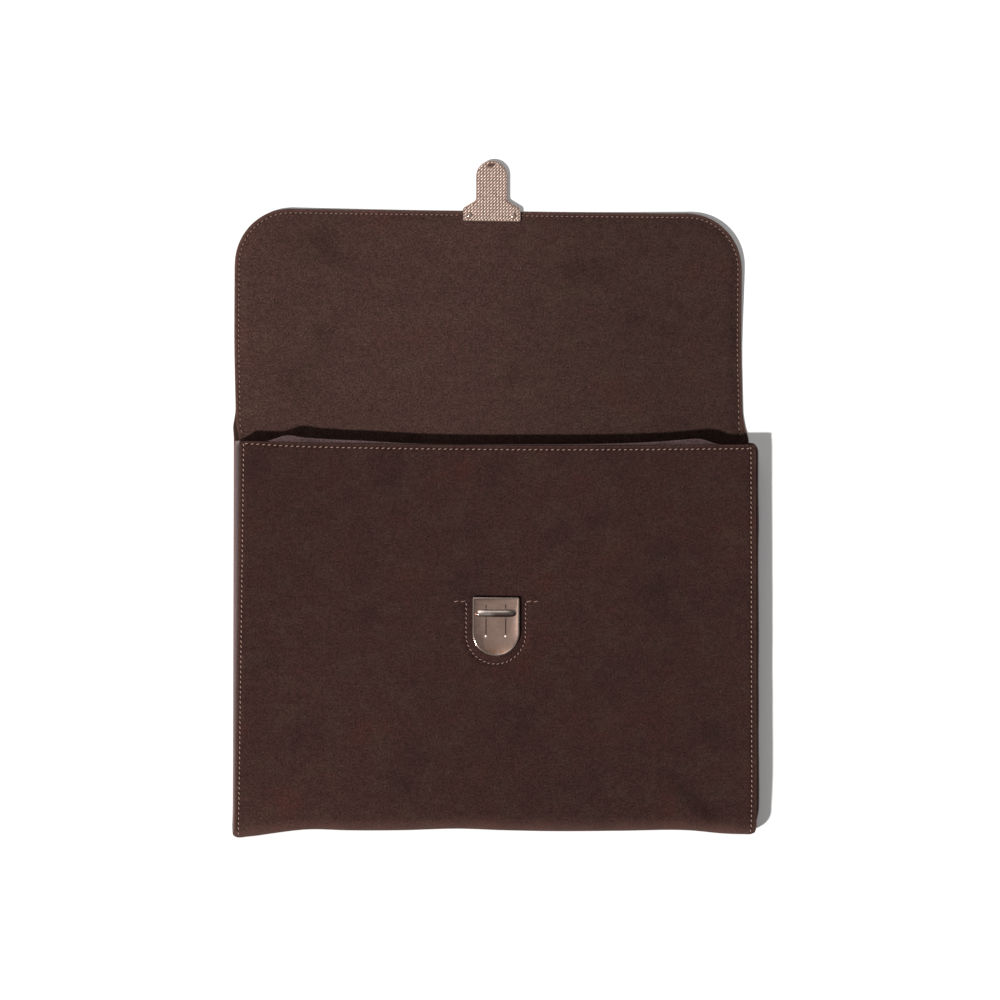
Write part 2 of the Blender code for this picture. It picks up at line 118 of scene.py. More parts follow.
# ---- small maths ---------------------------------------------------------------------------------
def smooth(value, low, high):
    t = np.clip((value - low) / (high - low), 0, 1)
    return t * t * (3 - 2 * t)


def hump(value, width):
    return np.exp(-(value / width) ** 2)


def wander(x, y, size, seed):
    """Smooth noise of about -1 to 1 over a plane, whose lumps are about size across."""
    x, y = np.broadcast_arrays(x, y)
    flat = [noise.noise(Vector((a / size, b / size, seed))) for a, b in zip(x.ravel(), y.ravel())]
    return np.array(flat).reshape(x.shape)


def through(x, points):
    """A smooth curve through a few given (x, value) points."""
    xs, values = zip(*points)
    slopes = np.gradient(values, xs)
    i = np.clip(np.searchsorted(xs, x) - 1, 0, len(xs) - 2)
    xs, values = np.array(xs), np.array(values)
    width = xs[i + 1] - xs[i]
    t = np.clip((x - xs[i]) / width, 0, 1)
    rise = (2 * t ** 3 - 3 * t ** 2 + 1) * values[i] + (3 * t ** 2 - 2 * t ** 3) * values[i + 1]
    lean = (t ** 3 - 2 * t ** 2 + t) * slopes[i] + (t ** 3 - t ** 2) * slopes[i + 1]
    return rise + lean * width


def spread(start, end, edge_steps, middle_step, fine=()):
    """Stations from start to end: close together at both ends and in the fine stretches."""
    near = np.array(edge_steps) * MM
    stations = list(start + near) + list(end - near)
    count = max(2, round((end - start - 2 * near[-1]) / middle_step))
    stations += list(np.linspace(start + near[-1], end - near[-1], count + 1))
    for low, high, step in fine:
        stations = [s for s in stations if not low - step / 2 < s < high + step / 2]
        stations += list(np.linspace(low, high, round((high - low) / step) + 1))
    stations = np.array(sorted(stations))
    keep = np.r_[True, np.diff(stations) > 0.1 * MM]
    return stations[keep]


# ---- material nodes ------------------------------------------------------------------------------
class Nodes:
    """A small wrapper that makes and links shader nodes."""

    def __init__(self, name):
        self.material = bpy.data.materials.new(name)
        self.material.use_nodes = True
        self.tree = self.material.node_tree
        self.shader = self.tree.nodes["Principled BSDF"]

    def add(self, kind, inputs=None, **settings):
        node = self.tree.nodes.new(kind)
        for key, value in settings.items():
            setattr(node, key, value)
        for key, value in (inputs or {}).items():
            if isinstance(value, bpy.types.NodeSocket):
                self.tree.links.new(value, node.inputs[key])
            else:
                node.inputs[key].default_value = value
        return node

    def set(self, **values):
        for key, value in values.items():
            socket = self.shader.inputs[key.replace("_", " ")]
            if isinstance(value, bpy.types.NodeSocket):
                self.tree.links.new(value, socket)
            else:
                socket.default_value = value

    def noise(self, vector, scale, detail=2.0, rough=0.5):
        node = self.add("ShaderNodeTexNoise", {"Vector": vector, "Scale": scale, "Detail": detail,
                                               "Roughness": rough})
        return node.outputs["Fac"]

    def ramp(self, value, stops):
        node = self.add("ShaderNodeValToRGB", {"Fac": value})
        ramp = node.color_ramp
        while len(ramp.elements) < len(stops):
            ramp.elements.new(0.5)
        for element, (place, colour) in zip(ramp.elements, stops):
            element.position = place
            element.color = (*colour, 1)
        return node.outputs["Color"]

    def level(self, value, low, high, to_low=0.0, to_high=1.0):
        node = self.add("ShaderNodeMapRange", {"Value": value, "From Min": low, "From Max": high,
                                               "To Min": to_low, "To Max": to_high})
        return node.outputs["Result"]

    def mix(self, factor, a, b, blend="MIX"):
        node = self.add("ShaderNodeMix", {0: factor, 6: a, 7: b}, data_type="RGBA",
                        blend_type=blend)
        return node.outputs[2]

    def maths(self, operation, a, b=0.0):
        return self.add("ShaderNodeMath", {0: a, 1: b}, operation=operation).outputs[0]

    def bump(self, height, depth, strength=1.0, normal=None):
        inputs = {"Height": height, "Distance": depth, "Strength": strength}
        if normal is not None:
            inputs["Normal"] = normal
        return self.add("ShaderNodeBump", inputs).outputs["Normal"]


def srgb(red, green, blue):
    def linear(value):
        value /= 255
        return value / 12.92 if value <= 0.04045 else ((value + 0.055) / 1.055) ** 2.4
    return tuple(linear(v) for v in (red, green, blue))


def nubuck(name, dark, mid, warm, pale, seed, sheen):
    """Mottled leather with a short nap: slow blotches, a fine nap, edges paler from wear and painted
    highlight, and painted shade along the seams.
    """
    n = Nodes(name)
    uv = n.add("ShaderNodeUVMap", uv_map="Sheet").outputs["UV"]
    place = n.add("ShaderNodeMapping", {"Vector": uv, "Location": (seed, seed * 0.37, 0)})
    place = place.outputs["Vector"]
    blotch = n.noise(place, 2.2, 4, 0.55)
    colour = n.ramp(blotch, [(0.30, dark), (0.46, mid), (0.56, mid), (0.72, warm)])
    olive = n.level(n.noise(place, 5.5, 3, 0.6), 0.46, 0.66)
    colour = n.mix(n.maths("MULTIPLY", olive, 0.55), colour, (*pale, 1))
    cloud = n.level(n.noise(place, 24, 4, 0.62), 0.3, 0.7, 0.79, 1.24)
    nap = n.level(n.noise(place, 78, 3, 0.66), 0.25, 0.75, 0.2, 1.8)
    fluff = n.noise(place, 210, 2, 0.6)
    shade = n.maths("MULTIPLY", cloud, nap)
    shade = n.add("ShaderNodeCombineColor", {0: shade, 1: shade, 2: shade}).outputs[0]
    colour = n.mix(1.0, colour, shade, "MULTIPLY")
    tone = n.add("ShaderNodeAttribute", attribute_name="tone").outputs["Fac"]
    tone = n.add("ShaderNodeCombineColor", {0: tone, 1: tone, 2: tone}).outputs[0]
    colour = n.mix(1.0, colour, tone, "MULTIPLY")
    # paler edges and rounds: partly real wear, partly painted highlight where they catch the light
    wear_and_highlight = n.add("ShaderNodeAttribute", attribute_name="wear_and_highlight").outputs["Fac"]
    patchy = n.level(n.noise(place, 60, 3, 0.6), 0.3, 0.62, 0.35, 1.0)
    worn = tuple(min(1, 3.0 * c) for c in pale)
    colour = n.mix(n.maths("MULTIPLY", n.maths("MULTIPLY", wear_and_highlight, patchy), 0.7), colour,
                   (worn[0], worn[1] * 0.92, worn[2] * 0.98, 1))
    # painted shade: darker along the stitch grooves and holes, and round the lock plate
    seam_shade = n.add("ShaderNodeAttribute", attribute_name="seam_shade").outputs["Fac"]
    colour = n.mix(n.maths("MULTIPLY", seam_shade, 0.62), colour, (*[c * 0.22 for c in dark], 1))
    lint = n.level(n.noise(place, 62, 1, 0.4), 0.745, 0.765)
    colour = n.mix(n.maths("MULTIPLY", lint, 0.3), colour, (*[4 * c for c in pale], 1))
    rough = n.level(nap, 0.2, 1.8, 0.97, 0.84)
    height = n.maths("ADD", n.maths("MULTIPLY", nap, 0.5), n.maths("MULTIPLY", fluff, 0.6))
    coarse = n.bump(n.noise(place, 30, 5, 0.62), 0.6 * MM, 0.6)
    n.set(Base_Color=colour, Roughness=rough, Normal=n.bump(height, 0.22 * MM, 0.8, coarse))
    n.set(Sheen_Weight=sheen, Sheen_Roughness=0.45, Sheen_Tint=(0.83, 0.62, 0.60, 1),
          Specular_IOR_Level=0.12)
    return n.material


def cut_edge(name, colour):
    """Painted or raw cut edge of the leather: fibrous, a little lighter than the face."""
    n = Nodes(name)
    place = n.add("ShaderNodeTexCoord").outputs["Object"]
    fibre = n.noise(place, 1800, 3, 0.6)
    tone = n.ramp(fibre, [(0.3, tuple(c * 0.7 for c in colour)), (0.7, tuple(c * 1.3 for c in colour))])
    n.set(Base_Color=tone, Roughness=0.8, Normal=n.bump(fibre, 0.1 * MM, 0.6))
    return n.material


def thread(name, colour):
    """Bonded two-ply thread: fine diagonal ply marks and a slight lustre."""
    n = Nodes(name)
    place = n.add("ShaderNodeTexCoord").outputs["Object"]
    wave = n.add("ShaderNodeTexWave", {"Vector": place, "Scale": 620, "Distortion": 1.5},
                 bands_direction="DIAGONAL").outputs["Fac"]
    uneven = n.noise(place, 220, 2)
    tone = n.ramp(wave, [(0.1, tuple(c * 0.62 for c in colour)), (0.8, colour)])
    tone = n.mix(n.level(uneven, 0.35, 0.75, 0.0, 0.45), tone, (*[c * 0.55 for c in colour], 1))
    n.set(Base_Color=tone, Roughness=n.level(wave, 0, 1, 0.7, 0.5),
          Normal=n.bump(wave, 0.08 * MM, 0.7), Sheen_Weight=0.2)
    return n.material


def metal(name, colour, rough, brushed=0.0, painted_copper_reflection=None, painted_dark_reflection=None):
    """Plated metal: brushed faces streak along one direction, polished ones carry faint haze.

    The two optional pairs of heights in y give where a copper reflection is painted on, and where a
    darker colour is painted on as a dark reflection, on the right of the middle.
    """
    n = Nodes(name)
    place = n.add("ShaderNodeTexCoord").outputs["Object"]
    along = n.add("ShaderNodeMapping", {"Vector": place, "Scale": (1, 60, 1)}).outputs["Vector"]
    streak = n.noise(along, 160, 5, 0.65)
    haze = n.noise(place, 260, 4, 0.6)
    dim = tuple(c * 0.736 for c in colour)
    tone = n.mix(n.level(haze, 0.35, 0.7), (*colour, 1), (*dim, 1))
    parts = n.add("ShaderNodeSeparateXYZ", {"Vector": place}).outputs
    # painted reflection: a copper glow on the plate near its bottom
    if painted_copper_reflection:
        patch = n.maths("MULTIPLY", n.level(parts["Y"], *painted_copper_reflection),
                        n.level(n.noise(place, 330, 4, 0.7), 0.42, 0.6))
        tone = n.mix(n.maths("MULTIPLY", patch, 0.75), tone, (0.50, 0.235, 0.12, 1))
    # painted reflection: darker colour on the lower side, right of the middle, for a dark reflection
    if painted_dark_reflection:
        patch = n.maths("MULTIPLY", n.level(parts["Y"], *painted_dark_reflection),
                        n.level(parts["X"], -5 * MM, 0, 0.25, 1))
        tone = n.mix(n.maths("MULTIPLY", patch, 0.85), tone, (0.11, 0.06, 0.05, 1))
    spread_by = max(brushed, 0.15)
    worn = n.maths("ADD", n.level(haze, 0.3, 0.75, 0, 0.08),
                   n.level(streak, 0.3, 0.7, rough - 0.05 * spread_by, rough + 0.25 * spread_by))
    n.set(Base_Color=tone, Metallic=1.0, Roughness=worn)
    n.set(Normal=n.bump(streak, 0.02 * MM, brushed + 0.05), Anisotropic=0.5 * brushed)
    return n.material


def felt(name, colour):
    """Matted fibres: the padding's felt and the stiffener's pressed board."""
    n = Nodes(name)
    place = n.add("ShaderNodeTexCoord").outputs["Object"]
    wool = n.noise(place, 900, 6, 0.7)
    tone = n.ramp(wool, [(0.3, tuple(c * 0.6 for c in colour)), (0.7, colour)])
    n.set(Base_Color=tone, Roughness=0.95, Normal=n.bump(wool, 0.3 * MM, 0.9), Sheen_Weight=0.3)
    return n.material


# ---- mesh helpers --------------------------------------------------------------------------------
def add_object(name, mesh, *materials):
    for made in materials:
        mesh.materials.append(made)
    thing = bpy.data.objects.new(name, mesh)
    bpy.context.scene.collection.objects.link(thing)
    return thing


def mesh_from(name, points, faces, smooth_all=True):
    mesh = bpy.data.meshes.new(name)
    mesh.from_pydata([tuple(p) for p in points], [], faces)
    mesh.update()
    if smooth_all:
        mesh.shade_smooth()
    return mesh


def subdivide(thing):
    step = thing.modifiers.new("Smooth", "SUBSURF")
    step.levels = step.render_levels = 1
    step.boundary_smooth = "PRESERVE_CORNERS"
    return thing


def grid_normals(grid):
    across, along = np.gradient(grid, axis=0), np.gradient(grid, axis=1)
    normal = np.cross(across, along)
    return normal / np.linalg.norm(normal, axis=2, keepdims=True)


def thick_sheet(name, grid, upper, lower, material, uv, wear_and_highlight=None, seam_shade=None, tone=None):
    """A closed sheet over a grid of points, between two offsets along the grid's normals."""
    rows, columns = grid.shape[:2]
    normal = grid_normals(grid)
    points = np.concatenate([(grid + normal * np.atleast_3d(upper)).reshape(-1, 3),
                             (grid + normal * np.atleast_3d(lower)).reshape(-1, 3)])
    index = np.arange(rows * columns).reshape(rows, columns)
    a, b, c, d = index[:-1, :-1], index[1:, :-1], index[1:, 1:], index[:-1, 1:]
    top = np.stack([a, b, c, d], axis=2).reshape(-1, 4)
    low = top[:, ::-1] + rows * columns
    rim = np.concatenate([index[:, 0], index[-1, 1:], index[-2::-1, -1], index[0, -2:0:-1]])
    on = np.roll(rim, -1)
    wall = np.stack([on, rim, rim + rows * columns, on + rows * columns], axis=1)
    mesh = mesh_from(name, points, np.concatenate([top, low, wall]).tolist())
    layer = mesh.uv_layers.new(name="Sheet")
    corner = np.zeros(len(mesh.loops), int)
    mesh.loops.foreach_get("vertex_index", corner)
    flat = np.concatenate([uv.reshape(-1, 2)] * 2) * UV_SCALE
    layer.data.foreach_set("uv", flat[corner].astype(np.float32).ravel())
    for key, values, plain in (("wear_and_highlight", wear_and_highlight, 0.0), ("seam_shade", seam_shade, 0.0), ("tone", tone, 1.0)):
        if values is None:
            values = np.full((rows, columns), plain)
        both = np.concatenate([values.ravel()] * 2).astype(np.float32)
        mesh.attributes.new(key, "FLOAT", "POINT").data.foreach_set("value", both)
    return subdivide(add_object(name, mesh, material))


def settle(thing):
    """Slides a soft thing as the sleeve lies: the front over the back, and the flap to one side."""
    places = np.zeros(len(thing.data.vertices) * 3, np.float32)
    thing.data.vertices.foreach_get("co", places)
    x, y, z = places.reshape(-1, 3).T
    up = np.clip((y - BOTTOM) / (MOUTH - BOTTOM), 0, 1)
    left, right = (-0.9 + 3.3 * up) * MM, (2.0 - 0.6 * up) * MM
    slide = left + (right - left) * np.clip((x / PANEL_HALF + 1) / 2, 0, 1)
    slide = SHIFT + slide * np.clip(z / FACE_Z, 0, 1)
    x += slide * (1 - smooth(y, MOUTH + 3 * MM, MOUTH + 14 * MM))
    x += DRIFT * smooth(y, MOUTH + 5 * MM, CREASE_2 + 40 * MM)
    thing.data.vertices.foreach_set("co", places)
    thing.data.update()
    return thing


def bend(thing):
    """Bakes the placement of a soft thing that runs over a crease into its mesh."""
    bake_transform(thing)


def tube_rows(centres, sides_a, sides_b, radii, sides):
    """Rings round many short centre lines at once: arrays of (piece, ring, 3) and (piece, ring)."""
    angle = np.linspace(0, math.tau, sides, endpoint=False)
    cos, sin = np.cos(angle)[:, None], np.sin(angle)[:, None]
    return (centres[:, :, None] + sides_a[:, :, None] * cos * radii[..., None, None]
            + sides_b[:, :, None] * sin * radii[..., None, None])


def tubes_mesh(name, rings):
    """One mesh of many capped tubes from rings of points (piece, ring, side, 3)."""
    pieces, count, sides = rings.shape[:3]
    index = np.arange(pieces * count * sides).reshape(pieces, count, sides)
    on = np.roll(index, -1, axis=2)
    walls = np.stack([index[:, :-1], on[:, :-1], on[:, 1:], index[:, 1:]], axis=3).reshape(-1, 4)
    caps = np.concatenate([index[:, 0, ::-1], index[:, -1]])
    return mesh_from(name, rings.reshape(-1, 3), walls.tolist() + caps.tolist())


STITCH_RADIUS = 0.31 * MM
STITCH_RINGS = 7
STITCH_SIDES = 8


def stitch_row(name, path, surface, pitch, length, material, slant=12, skip=None):
    """Thread stitches set along a path on a surface.

    path is a list of (x, y) points, surface gives (point, normal) for arrays of x and y.
    """
    path = np.array(path)
    steps = np.linalg.norm(np.diff(path, axis=0), axis=1)
    travel = np.r_[0, np.cumsum(steps)]
    count = max(1, int(travel[-1] / pitch))
    middles = (np.arange(count) + 0.5) * travel[-1] / count
    x, y = np.interp(middles, travel, path[:, 0]), np.interp(middles, travel, path[:, 1])
    ahead = np.stack([np.interp(middles + MM, travel, path[:, 0]),
                      np.interp(middles + MM, travel, path[:, 1])], axis=1)
    behind = np.stack([np.interp(middles - MM, travel, path[:, 0]),
                       np.interp(middles - MM, travel, path[:, 1])], axis=1)
    if skip is not None:
        keep = ~skip(x, y)
        x, y, ahead, behind = x[keep], y[keep], ahead[keep], behind[keep]
    point, normal = surface(x, y)
    ahead_point, behind_point = surface(*ahead.T)[0], surface(*behind.T)[0]
    along = ahead_point - behind_point
    along /= np.linalg.norm(along, axis=1, keepdims=True)
    side = np.cross(normal, along)
    wobble = np.array([noise.noise(Vector((i * 0.73, pitch * 1e4, 0.5))) for i in range(len(x))])
    angle = np.radians(slant + 7 * wobble)[:, None]
    lean = along * np.cos(angle) + side * np.sin(angle)
    cross = np.cross(normal, lean)
    t = np.linspace(-1, 1, STITCH_RINGS)
    reach = (length / 2 * (1 + 0.08 * wobble))[:, None, None] * t[None, :, None]
    rise = 0.34 * MM * (1 - np.abs(t) ** 2.2) - 0.24 * MM
    centres = point[:, None] + lean[:, None] * reach + normal[:, None] * rise[None, :, None]
    radii = np.broadcast_to(STITCH_RADIUS * (1 - 0.3 * np.abs(t) ** 3), centres.shape[:2])
    rings = tube_rows(centres, np.broadcast_to(cross[:, None], centres.shape),
                      np.broadcast_to(normal[:, None], centres.shape), radii, STITCH_SIDES)
    return add_object(name, tubes_mesh(name, rings), material)


def slope_surface(height, up=1.0):
    """(point, normal) of a height function of x and y; up is -1 for an underside."""
    step = 0.2 * MM

    def surface(x, y):
        z = height(x, y)
        slope_x = (height(x + step, y) - height(x - step, y)) / (2 * step)
        slope_y = (height(x, y + step) - height(x, y - step)) / (2 * step)
        normal = np.stack([-slope_x, -slope_y, np.ones_like(x)], axis=1) * up
        normal /= np.linalg.norm(normal, axis=1, keepdims=True)
        return np.stack([x, y, z], axis=1), normal
    return surface


# ---- the pocket's outer leather ------------------------------------------------------------------
ROLL = 9 * MM             # how far the bottom's round reaches into the front
ROLL_POWER = 2.5          # squareness of that round
BOTTOM_EDGE = [           # the bottom's outline, mm: it hangs lower at both corners
    (-191, -243.4), (-188.5, -245.2), (-179.2, -245.3), (-160, -242.8), (-136.2, -240.2),
    (-107.8, -241.0), (-69.9, -241.1), (-24.8, -240.1), (2.9, -241.2), (40.8, -242.1),
    (92.6, -242.0), (143.5, -241.9), (169, -244.4), (182, -244.8), (188.5, -244.6), (191, -243.4)]
BOTTOM_EDGE = [(x * MM, y * MM) for x, y in BOTTOM_EDGE]
SOFT_CORNERS = ((-1, 2.6), (1, 2.2))   # side, and how many mm the filling has sunk there


def top_edge(x):
    """The front's top edge sags a little between its corners."""
    return MOUTH - 1.6 * MM + 2.0 * MM * np.abs(x / PANEL_HALF) ** 2


def top_seam(x):
    """How far in from the top edge its seam runs: it meets the left corner higher up."""
    return SEAM_TOP - 1.3 * MM * hump(x + PANEL_HALF, 28 * MM)


def side_seam(x):
    return np.where(x > 0, SEAM_RIGHT, SEAM_SIDE)


def bottom_edge(x):
    return through(x, BOTTOM_EDGE)


def lock_seam_distance(x, y):
    """Distance from the U of stitches round the lock."""
    x = x + LEAN
    round_part = np.abs(np.hypot(x, y - LOCK_SEAM_ROUND) - LOCK_SEAM_HALF)
    side_part = np.hypot(np.abs(x) - LOCK_SEAM_HALF, np.maximum(y - LOCK_SEAM_TOP, 0))
    return np.where(y < LOCK_SEAM_ROUND, round_part, side_part)


def sunk(x, y):
    """How far the front has sunk at its lower corners."""
    above = y - bottom_edge(x)
    drop = 0
    for side, depth in SOFT_CORNERS:
        drop = drop + depth * MM * hump(PANEL_HALF - side * x, 26 * MM) * hump(above, 24 * MM)
    return drop


def front_face(x, y):
    """Outer face of the front, down over the first part of the bottom's round."""
    low = bottom_edge(x) + ROLL
    thick = front_height(x, np.maximum(y, low))
    fall = np.clip((low - y) / ROLL, 0, 0.999)
    return thick / 2 * (1 + (1 - fall ** ROLL_POWER) ** (1 / ROLL_POWER))


def front_height(x, y):
    """Outer face of the front leather, as far as the start of the bottom's round."""
    side = PANEL_HALF - np.abs(x)
    top = top_edge(x) - y
    above = y - bottom_edge(x)
    z = np.full(np.broadcast(x, y).shape, FACE_Z) - sunk(x, y)
    z = z + 0.45 * MM * wander(x, y, 0.085, 3.1) + 0.16 * MM * wander(x, y, 0.024, 8.4)
    z = z - 1.3 * MM * np.exp(-np.maximum(side, 0) / (4.0 * MM))
    z = z - 0.45 * MM * hump(side - side_seam(x), 1.0 * MM)
    z = z - 0.7 * MM * np.exp(-np.maximum(top, 0) / (5 * MM))
    z = z - 0.40 * MM * hump(top - top_seam(x), 1.0 * MM)
    # a diagonal dent at the lower right and a faint crease at the upper left
    along, across = slanted(x, y, *DENT)
    z = z - 1.9 * MM * hump(across, 6 * MM) * smooth(along, -0.2, 0.3) * (1 - smooth(along, 0.8, 1.2))
    z = z + 0.9 * MM * hump(across + 11 * MM, 7 * MM) * smooth(along, -0.2, 0.4)
    along, across = slanted(x, y, *FINE_CREASE)
    z = z - 0.35 * MM * hump(across, 2.5 * MM) * hump(along - 0.5, 0.6)
    ring = lock_seam_distance(x, y)
    z = z - 0.45 * MM * hump(ring, 1.2 * MM) + 0.35 * MM * hump(ring - 4 * MM, 3.0 * MM)
    z = z - 0.35 * MM * hump(np.hypot(x, y - LOCK_MIDDLE), 34 * MM)
    z = z + 0.5 * MM * wander(x, above * 0.35, 0.035, 5.2) * hump(above, 22 * MM)
    return z


def slanted(x, y, start, end):
    """How far along a line from start (0) to end (1), and how far to its left."""
    run = np.array(end) - np.array(start)
    length = np.hypot(*run)
    unit = run / length
    dx, dy = x - start[0], y - start[1]
    return (dx * unit[0] + dy * unit[1]) / length, -dx * unit[1] + dy * unit[0]


def back_half_width(y):
    return PANEL_HALF - (PANEL_HALF - FLAP_HALF) * smooth(y, MOUTH + 4 * MM, CREASE_1 + 6 * MM)


EDGE_STEPS = (0, 0.5, 1.2, 2.0, 2.6, 3.1, 3.7, 4.5, 5.6, 7.2, 9.5, 13, 18, 25)
ACROSS = spread(-PANEL_HALF, PANEL_HALF, EDGE_STEPS, 6 * MM, fine=[(-30 * MM, 30 * MM, 1.2 * MM)])
ROLL_TURNS = 22


def roll_point(x, turn, inset=0.0):
    """A ring of points round the bottom, from turn 0 on the front to 1 on the back."""
    low = bottom_edge(x) + ROLL
    thick = front_height(x, low)
    angle = math.pi / 2 - math.pi * turn
    cos, sin = abs(math.cos(angle)) ** (2 / ROLL_POWER), abs(math.sin(angle)) ** (2 / ROLL_POWER)
    y = low - (ROLL - inset) * cos
    z = thick / 2 + (thick / 2 - inset) * math.copysign(sin, angle)
    return y, z


def wrap_grid(x_stations, front_rows, back_rows):
    """Outer face of the leather that runs down the front, round the bottom and up the back."""
    flat = x_stations[:, None]
    rows, reach = [], []
    low = bottom_edge(flat) + ROLL
    start = top_edge(flat)

    def widen(y):
        return flat * (1 + 0.4 * MM / PANEL_HALF * hump(y - bottom_edge(flat), 15 * MM))
    for share in front_rows:
        y = start + (low - start) * share
        rows.append(np.concatenate([widen(y), y, front_height(flat, y)], axis=1))
        reach.append(start - y)
    thick = front_height(flat, low)
    for turn in range(1, ROLL_TURNS):
        y, z = roll_point(flat, turn / ROLL_TURNS)
        rows.append(np.concatenate([widen(y), y, z], axis=1))
        reach.append(start - low + thick * (turn / ROLL_TURNS) * 1.2)
    for place in back_rows:
        y = low + (SPINE_MIDDLE - low) * place
        narrow = flat * back_half_width(y) / PANEL_HALF
        rows.append(np.concatenate([narrow + widen(y) - flat, y, back_height(narrow, y)], axis=1))
        reach.append(start - low + thick * 1.2 + (y - low))
    return np.stack(rows, axis=1), np.concatenate(reach, axis=1)


def back_height(x, y):
    """Outer face of the back, on the table: flat but for its seams and soft lower corners."""
    side = back_half_width(y) - np.abs(x)
    z = 0.5 * MM * np.exp(-np.maximum(side, 0) / (2.5 * MM))
    return z + 0.25 * MM * hump(side - side_seam(x), 0.9 * MM)


# Paler edges: partly real wear, partly painted highlight where the edges catch the light.
def edge_wear_and_highlight(distance, width=1.6 * MM):
    return hump(np.maximum(distance, 0), width)


def make_body_leather(leather):
    front_length = MOUTH - BOTTOM - ROLL
    shares = spread(0, front_length, EDGE_STEPS, 6 * MM,
                    fine=[(MOUTH - PLATE[1].y - 6 * MM, MOUTH - PLATE[0].y + 14 * MM, 1.2 * MM)])
    shares = shares[shares < front_length - 2 * MM]
    shares = np.r_[shares, front_length - 1 * MM] / front_length
    back = np.r_[np.linspace(0, 0.9, 30), np.linspace(0.905, 0.9995, 20), 1]
    stations = ACROSS[::-1]
    grid, travel = wrap_grid(stations, np.r_[shares, 1.0], back)
    x, y = grid[..., 0], grid[..., 1]
    flat = stations[:, None] + 0 * y
    on_front = grid[..., 2] > FACE_Z * 0.6
    side = PANEL_HALF - np.abs(flat)
    top = np.where(on_front, top_edge(flat) - y, 1.0)
    above = y - bottom_edge(flat)
    # paler sides and top edge (wear and painted highlight), and a painted highlight along the bottom's
    # round
    wear_and_highlight = np.maximum(0.75 * edge_wear_and_highlight(side), 0.5 * edge_wear_and_highlight(top, 1.0 * MM))
    band = hump(above, 6.5 * MM) * (0.8 + 0.5 * wander(flat, 0 * y, 0.03, 1.1))
    wear_and_highlight = np.maximum(wear_and_highlight, band)
    # painted shade along the stitch grooves
    seam_shade = 0.8 * hump(side - side_seam(flat), 0.6 * MM)
    seam_shade = np.maximum(seam_shade, 0.8 * hump(top - top_seam(flat), 0.6 * MM) * on_front)
    ring = lock_seam_distance(flat, y)
    # painted shade on the leather round and under the lock plate, inside the U of stitches
    inside = 0.45 * (1 - smooth(np.hypot(flat + LEAN, np.minimum(y - LOCK_MIDDLE, 0)), 19 * MM, 22 * MM))
    inside = inside * (y < PLATE[1].y + 1 * MM) * (y > PLATE[0].y - 8 * MM)
    seam_shade = np.maximum(seam_shade, np.maximum(0.9 * hump(ring, 0.8 * MM), inside) * on_front)
    # tone: broad lighter and darker patches, a lighter lower-left corner, and a painted highlight along
    # the bottom's round
    tone = 1 + 0.10 * hump(flat + 0.13, 0.09) * smooth(-y, 0.02, 0.16)
    tone = tone - 0.09 * hump(flat - 0.02, 0.08) * smooth(-y, 0.08, 0.13)
    tone = tone - 0.10 * hump(flat - 0.13, 0.045)
    tone = tone + 0.16 * hump(flat + PANEL_HALF, 0.05) * hump(above, 0.04)
    tone = tone + 0.05 * hump(above, 0.035)
    along, across = slanted(flat, y, *DENT)
    # painted shade in the groove along the left edge below the mouth
    tone = tone - 0.35 * (1 - smooth(PANEL_HALF + flat, 0.5 * MM, 3.4 * MM)) * smooth(
        y, MOUTH - 75 * MM, MOUTH - 20 * MM)
    # painted shade in the dent at the lower right
    tone = tone - 0.15 * hump(across, 7 * MM) * smooth(along, -0.2, 0.3) * (1 - smooth(along, 0.8, 1.3))
    piece = thick_sheet("body_leather", grid, 0, -LEATHER, leather,
                        np.stack([x, travel], axis=2), np.clip(wear_and_highlight, 0, 1), seam_shade, tone)
    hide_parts("front_panel", "bottom_fold", "back_panel")
    bend(settle(piece))


# ---- gussets and the sides of the lining ---------------------------------------------------------
def end_round(distance, radius):
    """Rises from 0 to 1 like a quarter circle over radius."""
    t = np.clip(1 - distance / radius, 0, 1)
    return np.sqrt(1 - t ** 2)


